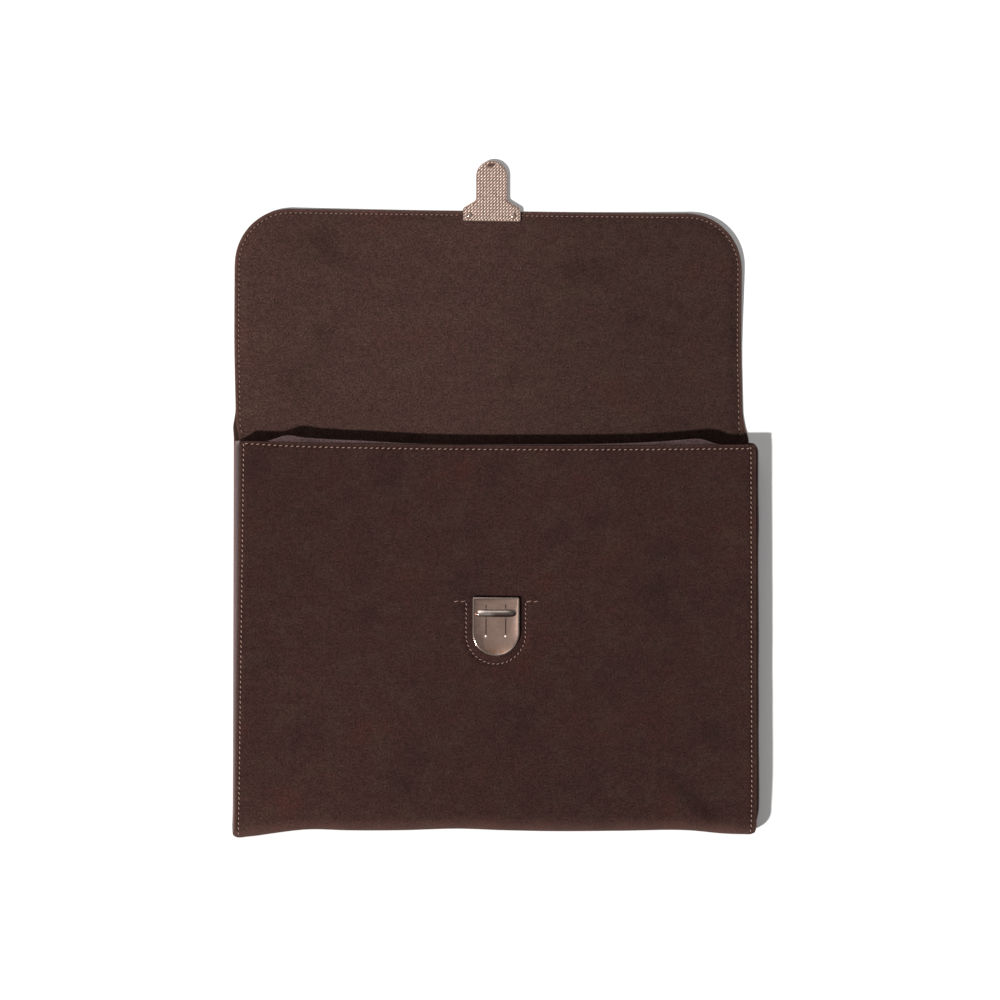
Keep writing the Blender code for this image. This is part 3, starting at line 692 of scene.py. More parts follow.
def side_strip(name, side, material, inward, flange, half_thick, belly, skew, y_top, bulge_highlight):
    """A strip sewn under the front's edge, down the side and over the back's edge."""
    edge = np.array(side * PANEL_HALF)
    y_low = float(bottom_edge(edge)) + 1.6 * MM + inward
    along = spread(y_low, y_top, (0, 0.4, 0.9, 1.6, 2.6, 4, 6, 9, 13), 6 * MM)
    low_end = bottom_edge(edge) + ROLL
    roll_share = np.clip((low_end - along) / (ROLL - inward), 0, 1)
    round_off = (1 - roll_share ** ROLL_POWER) ** (1 / ROLL_POWER)
    full = front_height(np.full_like(along, edge), np.maximum(along, low_end))
    gap = LEATHER + 0.35 * MM + 1.1 * inward
    top_z = full / 2 * (1 + round_off) - gap
    low_z = full / 2 * (1 - round_off) + gap
    swell_by = end_round(y_top - along, 4 * MM) * smooth(along - y_low, 0, 16 * MM)
    swell_by = swell_by * belly * (1 + 0.25 * wander(along, side, 0.04, 2.2))
    x_edge = PANEL_HALF - 1.0 * MM - inward
    flats = [(x_edge - flange * (1 - t), 0.0) for t in (0, 0.3, 0.6, 0.85, 1.0)]
    turns = 12
    sides = [(None, turn / turns) for turn in range(1, turns)]
    stations = flats + sides + [(x, 1.0) for x, _ in flats[::-1]]
    columns, travel, shade = [], [], []
    for i, (x_place, share) in enumerate(stations):
        if x_place is None:
            out = math.sin(math.pi * share ** skew) ** 0.6
            tuck = 4 * MM * (1 - end_round(y_top - along, 6 * MM))
            x = x_edge + (0.5 * MM + swell_by - tuck) * out
        else:
            x = np.full_like(along, x_place)
        z = top_z + (low_z - top_z) * share
        columns.append(np.stack([side * x, along, z], axis=1))
        travel.append(share * 0.022 + i * 0.0012 + 0 * along)
        # shade: painted shade near the front's edge, darker still towards the mouth, and a painted
        # highlight towards the strip's outer side
        near_top = smooth(along, y_top - 55 * MM, y_top - 10 * MM)
        dark = 0.30 - 0.18 * near_top
        shade.append(dark + (1.25 - dark) * smooth(share - 0.2 * near_top, 0.05, 0.8))
    grid, travel, shade = np.stack(columns), np.stack(travel), np.stack(shade)
    if side < 0:
        grid, travel, shade = grid[::-1], travel[::-1], shade[::-1]
    # a painted highlight: paler colour on the strip's bulge
    bulge = np.abs(grid[..., 0]) - x_edge
    wear_and_highlight = bulge_highlight * smooth(bulge, 0.2 * MM, 1.8 * MM)
    piece = thick_sheet(name, grid, half_thick, -half_thick, material,
                        np.stack([travel, grid[..., 1]], axis=2), wear_and_highlight, tone=shade)
    settle(piece)
    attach(piece, "body")
    return piece


def make_sides(leather, suede):
    for name, side, belly, skew in (("left", -1, 0.5, 1.1), ("right", 1, 3.2, 0.62)):
        y_top = float(top_edge(np.array(PANEL_HALF))) + 0.8 * MM
        piece = side_strip(f"{name}_gusset_leather", side, leather, 0, 5.5 * MM, 0.5 * MM,
                           belly * MM, skew, y_top, 0.45)
        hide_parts(f"{name}_gusset")
        piece = side_strip(f"{name}_side_suede", side, suede, 1.9 * MM, 3.0 * MM, 0.3 * MM,
                           belly * MM * 0.6, skew, y_top - 1.5 * MM, 0.2)
        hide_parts(f"{name}_side_lining")


def make_bottom_lining(suede):
    x = np.linspace(-PANEL_HALF + 4.5 * MM, PANEL_HALF - 4.5 * MM, 60)[::-1, None]
    rows, travel = [], []
    for i in range(23):
        turn = 0.02 + 0.96 * i / 22
        y, z = roll_point(x, turn, 3.9 * MM)
        rows.append(np.concatenate([x, y, z], axis=1))
        travel.append(np.full_like(x, turn * 0.025))
    grid = np.stack(rows, axis=1)
    uv = np.stack([grid[..., 0], np.concatenate(travel, axis=1)], axis=2)
    piece = settle(thick_sheet("bottom_suede", grid, 0.3 * MM, -0.3 * MM, suede, uv))
    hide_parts("bottom_lining")
    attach(piece, "body")


def make_felts(wool):
    """The padding between leather and lining, thinner towards its edges."""
    half = PANEL_HALF - 7 * MM
    x = np.linspace(-half, half, 70)[:, None]
    for name, low, high, ceiling, thick, replaced in (
            ("front_felt", float(bottom_edge(np.array(0))) + ROLL + 4 * MM, MOUTH - 9 * MM,
             lambda a, b: front_height(a, b) - LEATHER - 0.25 * MM, 1.9 * MM, "front_padding"),
            ("back_felt", float(bottom_edge(np.array(0))) + ROLL + 4 * MM, SPINE[0].y - 6 * MM,
             lambda a, b: back_lining_height(a, b) - 0.85 * MM, 0.95 * MM, "back_padding")):
        y = np.linspace(low, high, 70)[None]
        wide, deep = x + 0 * y, y + 0 * x
        grid = np.stack([wide, deep, ceiling(wide, deep)], axis=2)
        rim = np.minimum(half - np.abs(wide), np.minimum(deep - low, high - deep))
        piece = thick_sheet(name, grid, 0, -thick * (0.35 + 0.65 * smooth(rim, 0, 6 * MM)), wool,
                            grid[..., :2])
        settle(piece)
        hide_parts(replaced)
        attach(piece, "body")


# ---- flap, spine and linings ---------------------------------------------------------------------
def flap_inset(x, y):
    """Distance in from the flap's outline, which has two round corners."""
    corner_x = np.abs(x) - (FLAP_HALF - FLAP_CORNER)
    corner_y = y - (FLAP_EDGE - FLAP_CORNER)
    round_part = FLAP_CORNER - np.hypot(np.maximum(corner_x, 0), np.maximum(corner_y, 0))
    inner = FLAP_CORNER - np.maximum(corner_x, corner_y)
    return np.where((corner_x > 0) & (corner_y > 0), round_part, inner)


def flap_width(y, inset=0.0):
    """Half width of the flap at y."""
    over = np.clip(y - (FLAP_EDGE - FLAP_CORNER), 0, FLAP_CORNER - inset)
    radius = FLAP_CORNER - inset
    return FLAP_HALF - FLAP_CORNER + np.sqrt(np.maximum(radius ** 2 - over ** 2, 0))


def lift(x, y):
    """How far the soft flap stands off the table: nothing at the spine and at the tongue."""
    free = smooth(y, CREASE_2 + 10 * MM, FLAP_EDGE)
    out = smooth(np.abs(x), 45 * MM, FLAP_HALF)
    corner = 2.6 * MM * free * out * (1 + 0.35 * np.sign(x) * out)
    wave = 0.7 * MM * wander(x, y, 0.06, 6.6) * smooth(np.abs(x), 30 * MM, 60 * MM)
    return corner + (wave + 0.7 * MM) * free * out


def flap_lower(x, y):
    """Outer face of the flap's leather, on the table side."""
    inset = flap_inset(x, y)
    dip = 0.22 * MM * hump(inset - SEAM_FLAP, 0.9 * MM)
    return lift(x, y) + dip + 0.3 * MM * np.exp(-np.maximum(inset, 0) / (1.2 * MM))


def flap_upper(x, y):
    """Inner, suede face of the flap and spine."""
    inset = flap_inset(x, y)
    puff = 1.05 * MM * smooth(inset, 4.0 * MM, 10 * MM)
    z = lift(x, y) + 1.95 * MM + puff - 0.25 * MM * hump(inset - SEAM_FLAP, 0.8 * MM)
    z = z - 0.25 * MM * np.exp(-np.maximum(inset, 0) / (0.8 * MM))
    return z + 0.10 * MM * wander(x, y, 0.022, 4.4) * smooth(inset, 5 * MM, 14 * MM)


FLAP_ROWS = spread(SPINE_MIDDLE, FLAP_EDGE, (0, 0.4, 0.9, 1.5, 2.1, 2.6, 3.1, 3.6, 4.3, 5.2, 6.5,
                                             8.2, 10.5, 13.5, 17, 21, 25.5, 30.5, 36), 6 * MM)
FLAP_ROWS = np.r_[SPINE_MIDDLE, SPINE_MIDDLE + 0.05 * MM,
                  np.arange(SPINE_MIDDLE + 1.2 * MM, CREASE_2 + 14 * MM, 1.2 * MM),
                  FLAP_ROWS[FLAP_ROWS > CREASE_2 + 14.5 * MM]]
FLAP_COLUMNS = spread(-1, 1, [1000 * s for s in (0, 0.0022, 0.005, 0.0085, 0.0125, 0.0165, 0.021,
                              0.027, 0.035, 0.046, 0.06, 0.08, 0.11, 0.15, 0.2)], 0.034)


def flap_grid(height, inset=0.0):
    rows = FLAP_ROWS - inset * smooth(FLAP_ROWS, FLAP_EDGE - FLAP_CORNER, FLAP_EDGE)
    x = FLAP_COLUMNS[:, None] * flap_width(rows, inset)[None]
    y = np.broadcast_to(rows, x.shape)
    return np.stack([x, y, height(x, y)], axis=2)


def flap_light_and_tone(x, y):
    """Painted light on the suede: lighter towards the left, as lit from that side, with a painted
    highlight along its left edge; also paler in the middle towards the flap's free edge.
    """
    tone = 1.02 - 0.28 * smooth(x, -0.06, 0.13) + 0.06 * hump(x + FLAP_HALF, 0.05)
    return tone + 0.12 * hump(x, 0.035) * smooth(y, 0.15, FLAP_EDGE)


def make_flap(leather, suede):
    grid = flap_grid(flap_lower)[::-1]
    inset = flap_inset(grid[..., 0], grid[..., 1])
    # paler edges (wear and painted highlight) and painted shade along the seam's groove
    outer = thick_sheet("flap_outer_leather", grid, 0, -LEATHER, leather, grid[..., :2],
                        0.8 * edge_wear_and_highlight(inset), 0.8 * hump(inset - SEAM_FLAP, 0.6 * MM))
    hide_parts("flap_leather")
    grid = flap_grid(flap_upper, 0.35 * MM)
    inset = flap_inset(grid[..., 0], grid[..., 1])
    # paler edges (wear and painted highlight), painted shade along the seam's groove, and the flap's
    # painted light from the left
    inner = thick_sheet("flap_suede", grid, 0, -0.65 * MM, suede, grid[..., :2] + 0.7,
                        0.6 * edge_wear_and_highlight(inset, 2 * MM), 0.8 * hump(inset - SEAM_FLAP, 0.6 * MM),
                        flap_light_and_tone(grid[..., 0], grid[..., 1]))
    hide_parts("flap_lining")
    for piece in (outer, inner):
        bend(settle(piece))


def make_flap_board(board):
    """The stiffener, which follows the soft flap between its leather and its suede."""
    inset = 10 * MM
    low, top = CREASE_2 + 7 * MM, FLAP_EDGE - inset
    rows = np.r_[low, FLAP_ROWS[(FLAP_ROWS > low + MM) & (FLAP_ROWS < top - 0.3 * MM)], top]
    x = FLAP_COLUMNS[:, None] * flap_width(rows, inset)[None]
    y = np.broadcast_to(rows, x.shape)
    grid = np.stack([x, y, lift(x, y) + 1.78 * MM], axis=2)
    piece = thick_sheet("flap_board", grid, 0.3 * MM, -0.3 * MM, board, grid[..., :2])
    settle(piece)
    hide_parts("flap_stiffener")
    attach(piece, "flap")


def back_lining_height(x, y):
    """The lining's upper face: flat in the pocket, then meeting the leather along the spine's sides."""
    open_part = smooth(y, MOUTH + 1 * MM, MOUTH + 14 * MM)
    return POCKET[1].z * (1 - open_part) + flap_upper(x, y) * open_part


def make_back_lining(suede):
    low = POCKET[0].y
    rows = np.r_[np.linspace(low, MOUTH - 10 * MM, 40),
                 np.arange(MOUTH - 8 * MM, SPINE_MIDDLE - 0.5 * MM, 1.5 * MM),
                 SPINE_MIDDLE - 0.05 * MM, SPINE_MIDDLE]
    width = np.full_like(rows, FLAP_HALF - 0.35 * MM)
    x = FLAP_COLUMNS[:, None] * width[None]
    y = np.broadcast_to(rows, x.shape)
    grid = np.stack([x, y, back_lining_height(x, y)], axis=2)
    side = FLAP_HALF - np.abs(x)
    opened = smooth(y, MOUTH + 1 * MM, MOUTH + 8 * MM)
    # paler edges past the mouth (wear and painted highlight), painted shade along the seams, and the
    # flap's painted light from the left
    piece = thick_sheet("back_suede", grid, 0, -0.6 * MM, suede, grid[..., :2] + 0.7,
                        0.6 * edge_wear_and_highlight(side, 2 * MM) * opened,
                        0.8 * hump(side - SEAM_FLAP, 0.6 * MM) * opened, flap_light_and_tone(x, y))
    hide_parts("back_lining", "spine_lining", "spine_leather")
    bend(settle(piece))


def front_lining_height(x, y):
    """Inner face of the front, which rises to meet the leather along the mouth."""
    rise = smooth(y, MOUTH - 14 * MM, MOUTH - 3 * MM)
    flat = FRONT_LINING[1].z - 0.3 * MM - sunk(x, y)
    under = front_height(x, np.minimum(y, top_edge(x) - SEAM_TOP - 3 * MM)) - LEATHER - 0.15 * MM
    return flat + (under - flat) * rise + 0.15 * MM * wander(x, y, 0.05, 9.9) * (1 - rise)


LIP = [                   # how far the lining stands out of the mouth, mm, across the front
    (-191, 0.2), (-168, 0.2), (-157, 4.8), (-143, 3.7), (-129, 3.0), (-99, 2.2), (-70, 1.0),
    (-34, 0.6), (3, 0.8), (76, 1.4), (105, 2.2), (119, 2.9), (134, 3.9), (150, 4.3), (162, 0.2),
    (191, 0.2)]
LIP = [(x * MM, y * MM) for x, y in LIP]


def make_front_lining(suede):
    low = FRONT_LINING[0].y
    shares = np.r_[np.linspace(0, 0.93, 44), np.linspace(0.935, 0.9985, 18), 1]
    columns = spread(-1, 1, [1000 * s for s in (0, 0.004, 0.01, 0.02, 0.04, 0.08, 0.14)], 0.014)
    x = columns[:, None] * np.full_like(shares, PANEL_HALF - 3.4 * MM)[None]
    lip = top_edge(x) + through(x, LIP)
    y = low + (lip - low) * shares[None]
    z = front_lining_height(x, y) - 0.7 * MM * smooth(y, lip - 3 * MM, lip)
    grid = np.stack([x, y, z], axis=2)
    # paler along the lip's top
    wear_and_highlight = smooth(y, lip - 2.0 * MM, lip - 0.3 * MM) * 0.2
    # darker towards the right, with painted shade right under the front's top edge
    tone = 1.0 - 0.26 * smooth(x, -0.12, 0.10) - 0.35 * hump(y - top_edge(x), 0.8 * MM)
    piece = thick_sheet("front_suede", grid, 0, -0.6 * MM, suede, grid[..., :2] + 0.3, wear_and_highlight,
                        tone=tone)
    settle(piece)
    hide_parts("front_lining")
    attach(piece, "body")


# ---- seams ---------------------------------------------------------------------------------------
def make_front_seams(cord):
    x = np.linspace(SEAM_SIDE - PANEL_HALF, PANEL_HALF - SEAM_RIGHT, 200)
    surface = slope_surface(front_height)
    top = stitch_row("front_top_stitches", np.stack([x, top_edge(x) - top_seam(x)], axis=1), surface,
                     4.1 * MM, 2.5 * MM, cord, slant=16)
    pieces = [top]
    for name, x_seam in (("left", x[0]), ("right", x[-1])):
        y = np.linspace(float(top_edge(x_seam)) - 1.0 * MM,
                        float(bottom_edge(x_seam)) + 1.2 * MM, 200)
        path = np.stack([np.full_like(y, x_seam), y], axis=1)
        pieces.append(stitch_row(f"front_{name}_stitches", path, slope_surface(front_face),
                                 3.6 * MM, 2.3 * MM, cord, slant=14))
        low = path.copy()
        low[:, 1] = np.linspace(MOUTH, float(bottom_edge(x_seam)) + 10 * MM, 200)
        under = slope_surface(back_height, up=-1)
        pieces.append(stitch_row(f"back_{name}_stitches", low, under, 3.6 * MM, 2.3 * MM, cord,
                                 slant=14))
    for piece in pieces:
        settle(piece)
        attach(piece, "body")


def make_lock_seam(cord):
    half, top = LOCK_SEAM_HALF, LOCK_SEAM_TOP
    path = [(-half, top), *arc(0, LOCK_SEAM_ROUND, half, 180, 360, 59), (half, top)]
    path = np.array(path) - (LEAN, 0)
    surface = slope_surface(front_height)
    pieces = [stitch_row("lock_u_stitches", path, surface, 3.3 * MM, 2.75 * MM, cord, slant=20)]
    for name, side in (("left", -1), ("right", 1)):
        bar = [(side * (half - 0.4 * MM) - LEAN, top + 0.4 * MM),
               (side * (half + 10.1 * MM) - LEAN, top + 0.4 * MM)]
        if side < 0:
            bar = bar[::-1]
        pieces.append(stitch_row(f"lock_{name}_bar_stitches", bar, surface, 5.2 * MM, 3.5 * MM, cord,
                                 slant=10))
    for piece in pieces:
        settle(piece)
        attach(piece, "body")


def flap_stitches(name, path, surface, cord, skip=None):
    return settle(stitch_row(name, path, surface, 3.7 * MM, 2.3 * MM, cord, 10, skip))


def make_flap_seams(cord):
    half = FLAP_HALF - SEAM_FLAP
    right = [(half, SPINE_MIDDLE), *arc(FLAP_HALF - FLAP_CORNER, FLAP_EDGE - FLAP_CORNER,
                                        FLAP_CORNER - SEAM_FLAP, 0, 90, 23)]
    whole = right + [(-x, y) for x, y in right[::-1]]

    def under_plate(x, y):
        return (np.abs(x) < OUTER_PLATE[1].x + 1.5 * MM) & (y > OUTER_PLATE[0].y)
    for name, surface in (("inner", slope_surface(flap_upper)),
                          ("outer", slope_surface(flap_lower, up=-1))):
        bend(flap_stitches(f"flap_{name}_stitches", whole, surface, cord, under_plate))
    under = slope_surface(back_height, up=-1)
    y = np.linspace(MOUTH, SPINE_MIDDLE, 30)
    for name, side in (("left", -1), ("right", 1)):
        inner = [(side * half, MOUTH + 6 * MM), (side * half, SPINE_MIDDLE)]
        outer = np.stack([side * (back_half_width(y) - side_seam(side)), y], axis=1)
        for where, path, surface in (("inner", inner, slope_surface(back_lining_height)),
                                     ("outer", outer, under)):
            bend(flap_stitches(f"spine_{name}_{where}_stitches", path, surface, cord))


# ---- hardware ------------------------------------------------------------------------------------
def arc(cx, cy, radius, start, end, steps):
    return [(cx + radius * math.cos(math.radians(start + (end - start) * i / steps)),
             cy + radius * math.sin(math.radians(start + (end - start) * i / steps)))
            for i in range(steps + 1)]


def lock_outline(inset=0.0):
    """The lock plate's outline: a flat top, small top corners and a round bottom."""
    half = PLATE[1].x - inset
    top, low = PLATE[1].y - inset, PLATE[0].y + inset
    corner = max(1.6 * MM - inset, 0.3 * MM)
    points = arc(half - corner, top - corner, corner, 0, 90, 5)
    points += arc(-half + corner, top - corner, corner, 90, 180, 5)
    points += arc(0, low + half, half, 180, 360, 40)
    return points


def stacked(name, rings, material):
    """A closed solid from matching outlines at rising heights: a list of (outline, z)."""
    points, faces = [], []
    count = len(rings[0][0])
    for outline, z in rings:
        points += [(x, y, z) for x, y in outline]
    for level in range(len(rings) - 1):
        base = level * count
        for i in range(count):
            j = (i + 1) % count
            faces.append((base + i, base + j, base + count + j, base + count + i))
    last = (len(rings) - 1) * count
    faces += [tuple(range(count - 1, -1, -1)), tuple(range(last, last + count))]
    mesh = mesh_from(name, points, faces)
    mesh.set_sharp_from_angle(angle=math.radians(35))
    return add_object(name, mesh, material)


def cut(thing, tools):
    """Cuts closed tools out of a thing, applies the cuts and removes the tools."""
    for tool in tools:
        step = thing.modifiers.new("Cut", "BOOLEAN")
        step.operation = "DIFFERENCE"
        step.solver = "EXACT"
        step.object = tool
    bake(thing)
    for tool in tools:
        bpy.data.objects.remove(tool)


def bake(thing):
    """Replaces a thing's mesh with what its modifiers make of it."""
    graph = bpy.context.evaluated_depsgraph_get()
    made = bpy.data.meshes.new_from_object(thing.evaluated_get(graph))
    thing.modifiers.clear()
    thing.data = made
    made.set_sharp_from_angle(angle=math.radians(35))


def rounded_bar(x0, x1, y0, y1, radius, steps=6):
    points = arc(x1 - radius, y1 - radius, radius, 0, 90, steps)
    points += arc(x0 + radius, y1 - radius, radius, 90, 180, steps)
    points += arc(x0 + radius, y0 + radius, radius, 180, 270, steps)
    points += arc(x1 - radius, y0 + radius, radius, 270, 360, steps)
    return points


SLOT_X = 7.2 * MM
SLOT_TOP = PLATE[1].y - 5.4 * MM
SLOT_LOW = SLOT_TOP - 23 * MM


def make_lock(face, polished, frosted, steel, dark):
    top_z = PLATE[1].z
    skirt = FACE_Z - 0.6 * MM
    rim = 0.16 * MM
    rings = [(lock_outline(0.05 * MM), skirt), (lock_outline(0), skirt + 0.5 * MM),
             (lock_outline(0), top_z - 0.75 * MM), (lock_outline(0.07 * MM), top_z - 0.38 * MM),
             (lock_outline(0.25 * MM), top_z - 0.08 * MM), (lock_outline(0.5 * MM), top_z + rim * 0.6),
             (lock_outline(0.85 * MM), top_z + rim), (lock_outline(1.15 * MM), top_z + rim * 0.8),
             (lock_outline(1.35 * MM), top_z)]
    plate = stacked("lock_plate", rings, polished)
    plate.data.materials.append(face)
    for polygon in plate.data.polygons:
        if polygon.normal.z > 0.99 and len(polygon.vertices) > 4:
            polygon.material_index = 1
    tools = []
    for side in (-1, 1):
        x = side * SLOT_X
        slot = rounded_bar(x - 0.36 * MM, x + 0.36 * MM, SLOT_LOW, SLOT_TOP, 0.3 * MM, 4)
        tools.append(stacked("slot_cutter", [(slot, top_z - 1.2 * MM), (slot, top_z + MM)], steel))
    entry = rounded_bar(-12.2 * MM, 12.2 * MM, PLATE[1].y - 9 * MM, PLATE[1].y + 2 * MM, 0.4 * MM, 3)
    tools.append(stacked("entry_cutter", [(entry, FACE_Z + 0.25 * MM), (entry, FACE_Z + 1.9 * MM)],
                         steel))
    cut(plate, tools)
    plate.data.materials.append(dark)
    for polygon in plate.data.polygons:
        x, y, z = polygon.center
        if abs(abs(x) - SLOT_X) < 0.6 * MM and SLOT_LOW - MM < y < SLOT_TOP + MM and z < top_z - 0.2 * MM:
            polygon.material_index = len(plate.data.materials) - 1
    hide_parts("lock_front_plate")
    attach(plate, "body")

    for name, side in (("left", -1), ("right", 1)):
        pin = dome(f"lock_pin_{name}", side * SLOT_X, SLOT_LOW + 0.2 * MM, top_z - 0.1 * MM,
                   1.0 * MM, 0.55 * MM, frosted)
        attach(pin, "body")


def dome(name, x, y, z, radius, height, material, steps=5):
    """A low rivet head."""
    rings = [(arc(x, y, radius, 0, 345, 23), z - 0.4 * MM)]
    for step in range(steps):
        angle = math.pi / 2 * step / steps
        rings.append((arc(x, y, radius * math.cos(angle), 0, 345, 23), z + height * math.sin(angle)))
    return stacked(name, rings, material)


def make_slider(polished):
    """The bar: a pill with a rolled top, on two guide legs."""
    x1, y0, y1 = SLIDER[1].x, SLIDER[0].y, SLIDER[1].y
    z0, z1 = PLATE[1].z + 0.4 * MM, SLIDER[1].z + 0.4 * MM
    across = 14
    sections = []
    for i in range(33):
        t = -1 + 2 * i / 32
        end = (1 - abs(t) ** 7) ** 0.5
        x = x1 * t
        ring = []
        for j in range(across * 2):
            angle = math.tau * j / (across * 2)
            cos, sin = math.cos(angle), math.sin(angle)
            y = (y0 + y1) / 2 + (y1 - y0) / 2 * cos * (0.35 + 0.65 * end)
            crest = sin * (1 - 0.42 * cos) / 1.13    # highest towards its lower side
            z = z0 + (z1 - z0) * (crest * (0.3 + 0.7 * end) if sin > 0 else 0.15 * sin)
            ring.append((x, y, z))
        sections.append(ring)
    count = across * 2
    points = [p for ring in sections for p in ring]
    faces = []
    for i in range(len(sections) - 1):
        for j in range(count):
            k = (j + 1) % count
            faces.append((i * count + j, i * count + k, (i + 1) * count + k, (i + 1) * count + j))
    faces.append(tuple(range(count - 1, -1, -1)))
    faces.append(tuple((len(sections) - 1) * count + j for j in range(count)))
    mesh = mesh_from("slider_pill", points, faces)
    repair = bmesh.new()
    repair.from_mesh(mesh)
    bmesh.ops.recalc_face_normals(repair, faces=repair.faces)
    repair.to_mesh(mesh)
    repair.free()
    bar = add_object("slider_pill", mesh, polished)
    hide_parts("slider_bar")
    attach(bar, "slider")
    for name, side in (("left", -1), ("right", 1)):
        x = side * SLOT_X
        y = (y0 + y1) / 2
        leg = rounded_bar(x - 0.2 * MM, x + 0.2 * MM, y - 2 * MM, y + 2 * MM, 0.15 * MM, 3)
        piece = stacked(f"slider_leg_{name}", [(leg, FACE_Z + 2.2 * MM), (leg, z0 + 0.5 * MM)], polished)
        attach(piece, "slider")


TONGUE_HALF = 11.5 * MM
TONGUE_NECK = 218.3 * MM
TONGUE_SHOULDER = 212.5 * MM
TONGUE_EASE = 3.0 * MM


def eased(corners):
    """An outline whose corners (x, y, radius) are turned to their radii."""
    points = []
    for i, (x, y, radius) in enumerate(corners):
        here = Vector((x, y))
        back = (Vector(corners[i - 1][:2]) - here).normalized()
        on = (Vector(corners[(i + 1) % len(corners)][:2]) - here).normalized()
        half = back.angle(on) / 2
        centre = here + (back + on).normalized() * radius / math.sin(half)
        first = here + back * radius / math.tan(half) - centre
        turn = (math.pi - 2 * half) * (1 if back.x * on.y - back.y * on.x < 0 else -1)
        steps = 36 if abs(turn) > 2 else 8
        for step in range(steps + 1):
            cos, sin = math.cos(turn * step / steps), math.sin(turn * step / steps)
            points.append((centre.x + first.x * cos - first.y * sin,
                           centre.y + first.x * sin + first.y * cos))
    return points


def tongue_outline(inset=0.0):
    """The tongue: a round-ended blade that widens over sloping shoulders to its base."""
    half, base = TONGUE_HALF - inset, BLADE[1].x - inset
    tip, low = BLADE[1].y - inset, BLADE[0].y + inset
    neck, shoulder = TONGUE_NECK - 0.45 * inset, TONGUE_SHOULDER - 0.7 * inset
    corner = 1.5 * MM - 0.6 * inset
    right = [(base, low, corner), (base, shoulder, TONGUE_EASE - 0.6 * inset),
             (half, neck, TONGUE_EASE)]
    left = [(-x, y, radius) for x, y, radius in right[::-1]]
    dome_end = arc(0, tip - half, half, 0, 180, 36)
    lower = eased(right + [(half, tip, 0.1 * MM), (-half, tip, 0.1 * MM)] + left)
    straight = [(x, y) for x, y in lower if y < tip - 1.01 * half]
    split = next(i for i, (x, y) in enumerate(straight) if x < 0)
    return straight[:split] + dome_end + straight[split:]


def inside_tongue(x, y, inset):
    half, base = TONGUE_HALF - inset, BLADE[1].x - inset
    tip, low = BLADE[1].y - inset, BLADE[0].y + inset
    if y < low or y > tip:
        return False
    if y > tip - half:
        return math.hypot(x, y - (tip - half)) < half
    slope = TONGUE_SHOULDER + (base - abs(x)) * (TONGUE_NECK - TONGUE_SHOULDER) / (base - half)
    return abs(x) < half or (abs(x) < base and y < slope - inset)


GRAIN_PITCH = 2.35 * MM
GRAIN_ANGLE = math.radians(49)


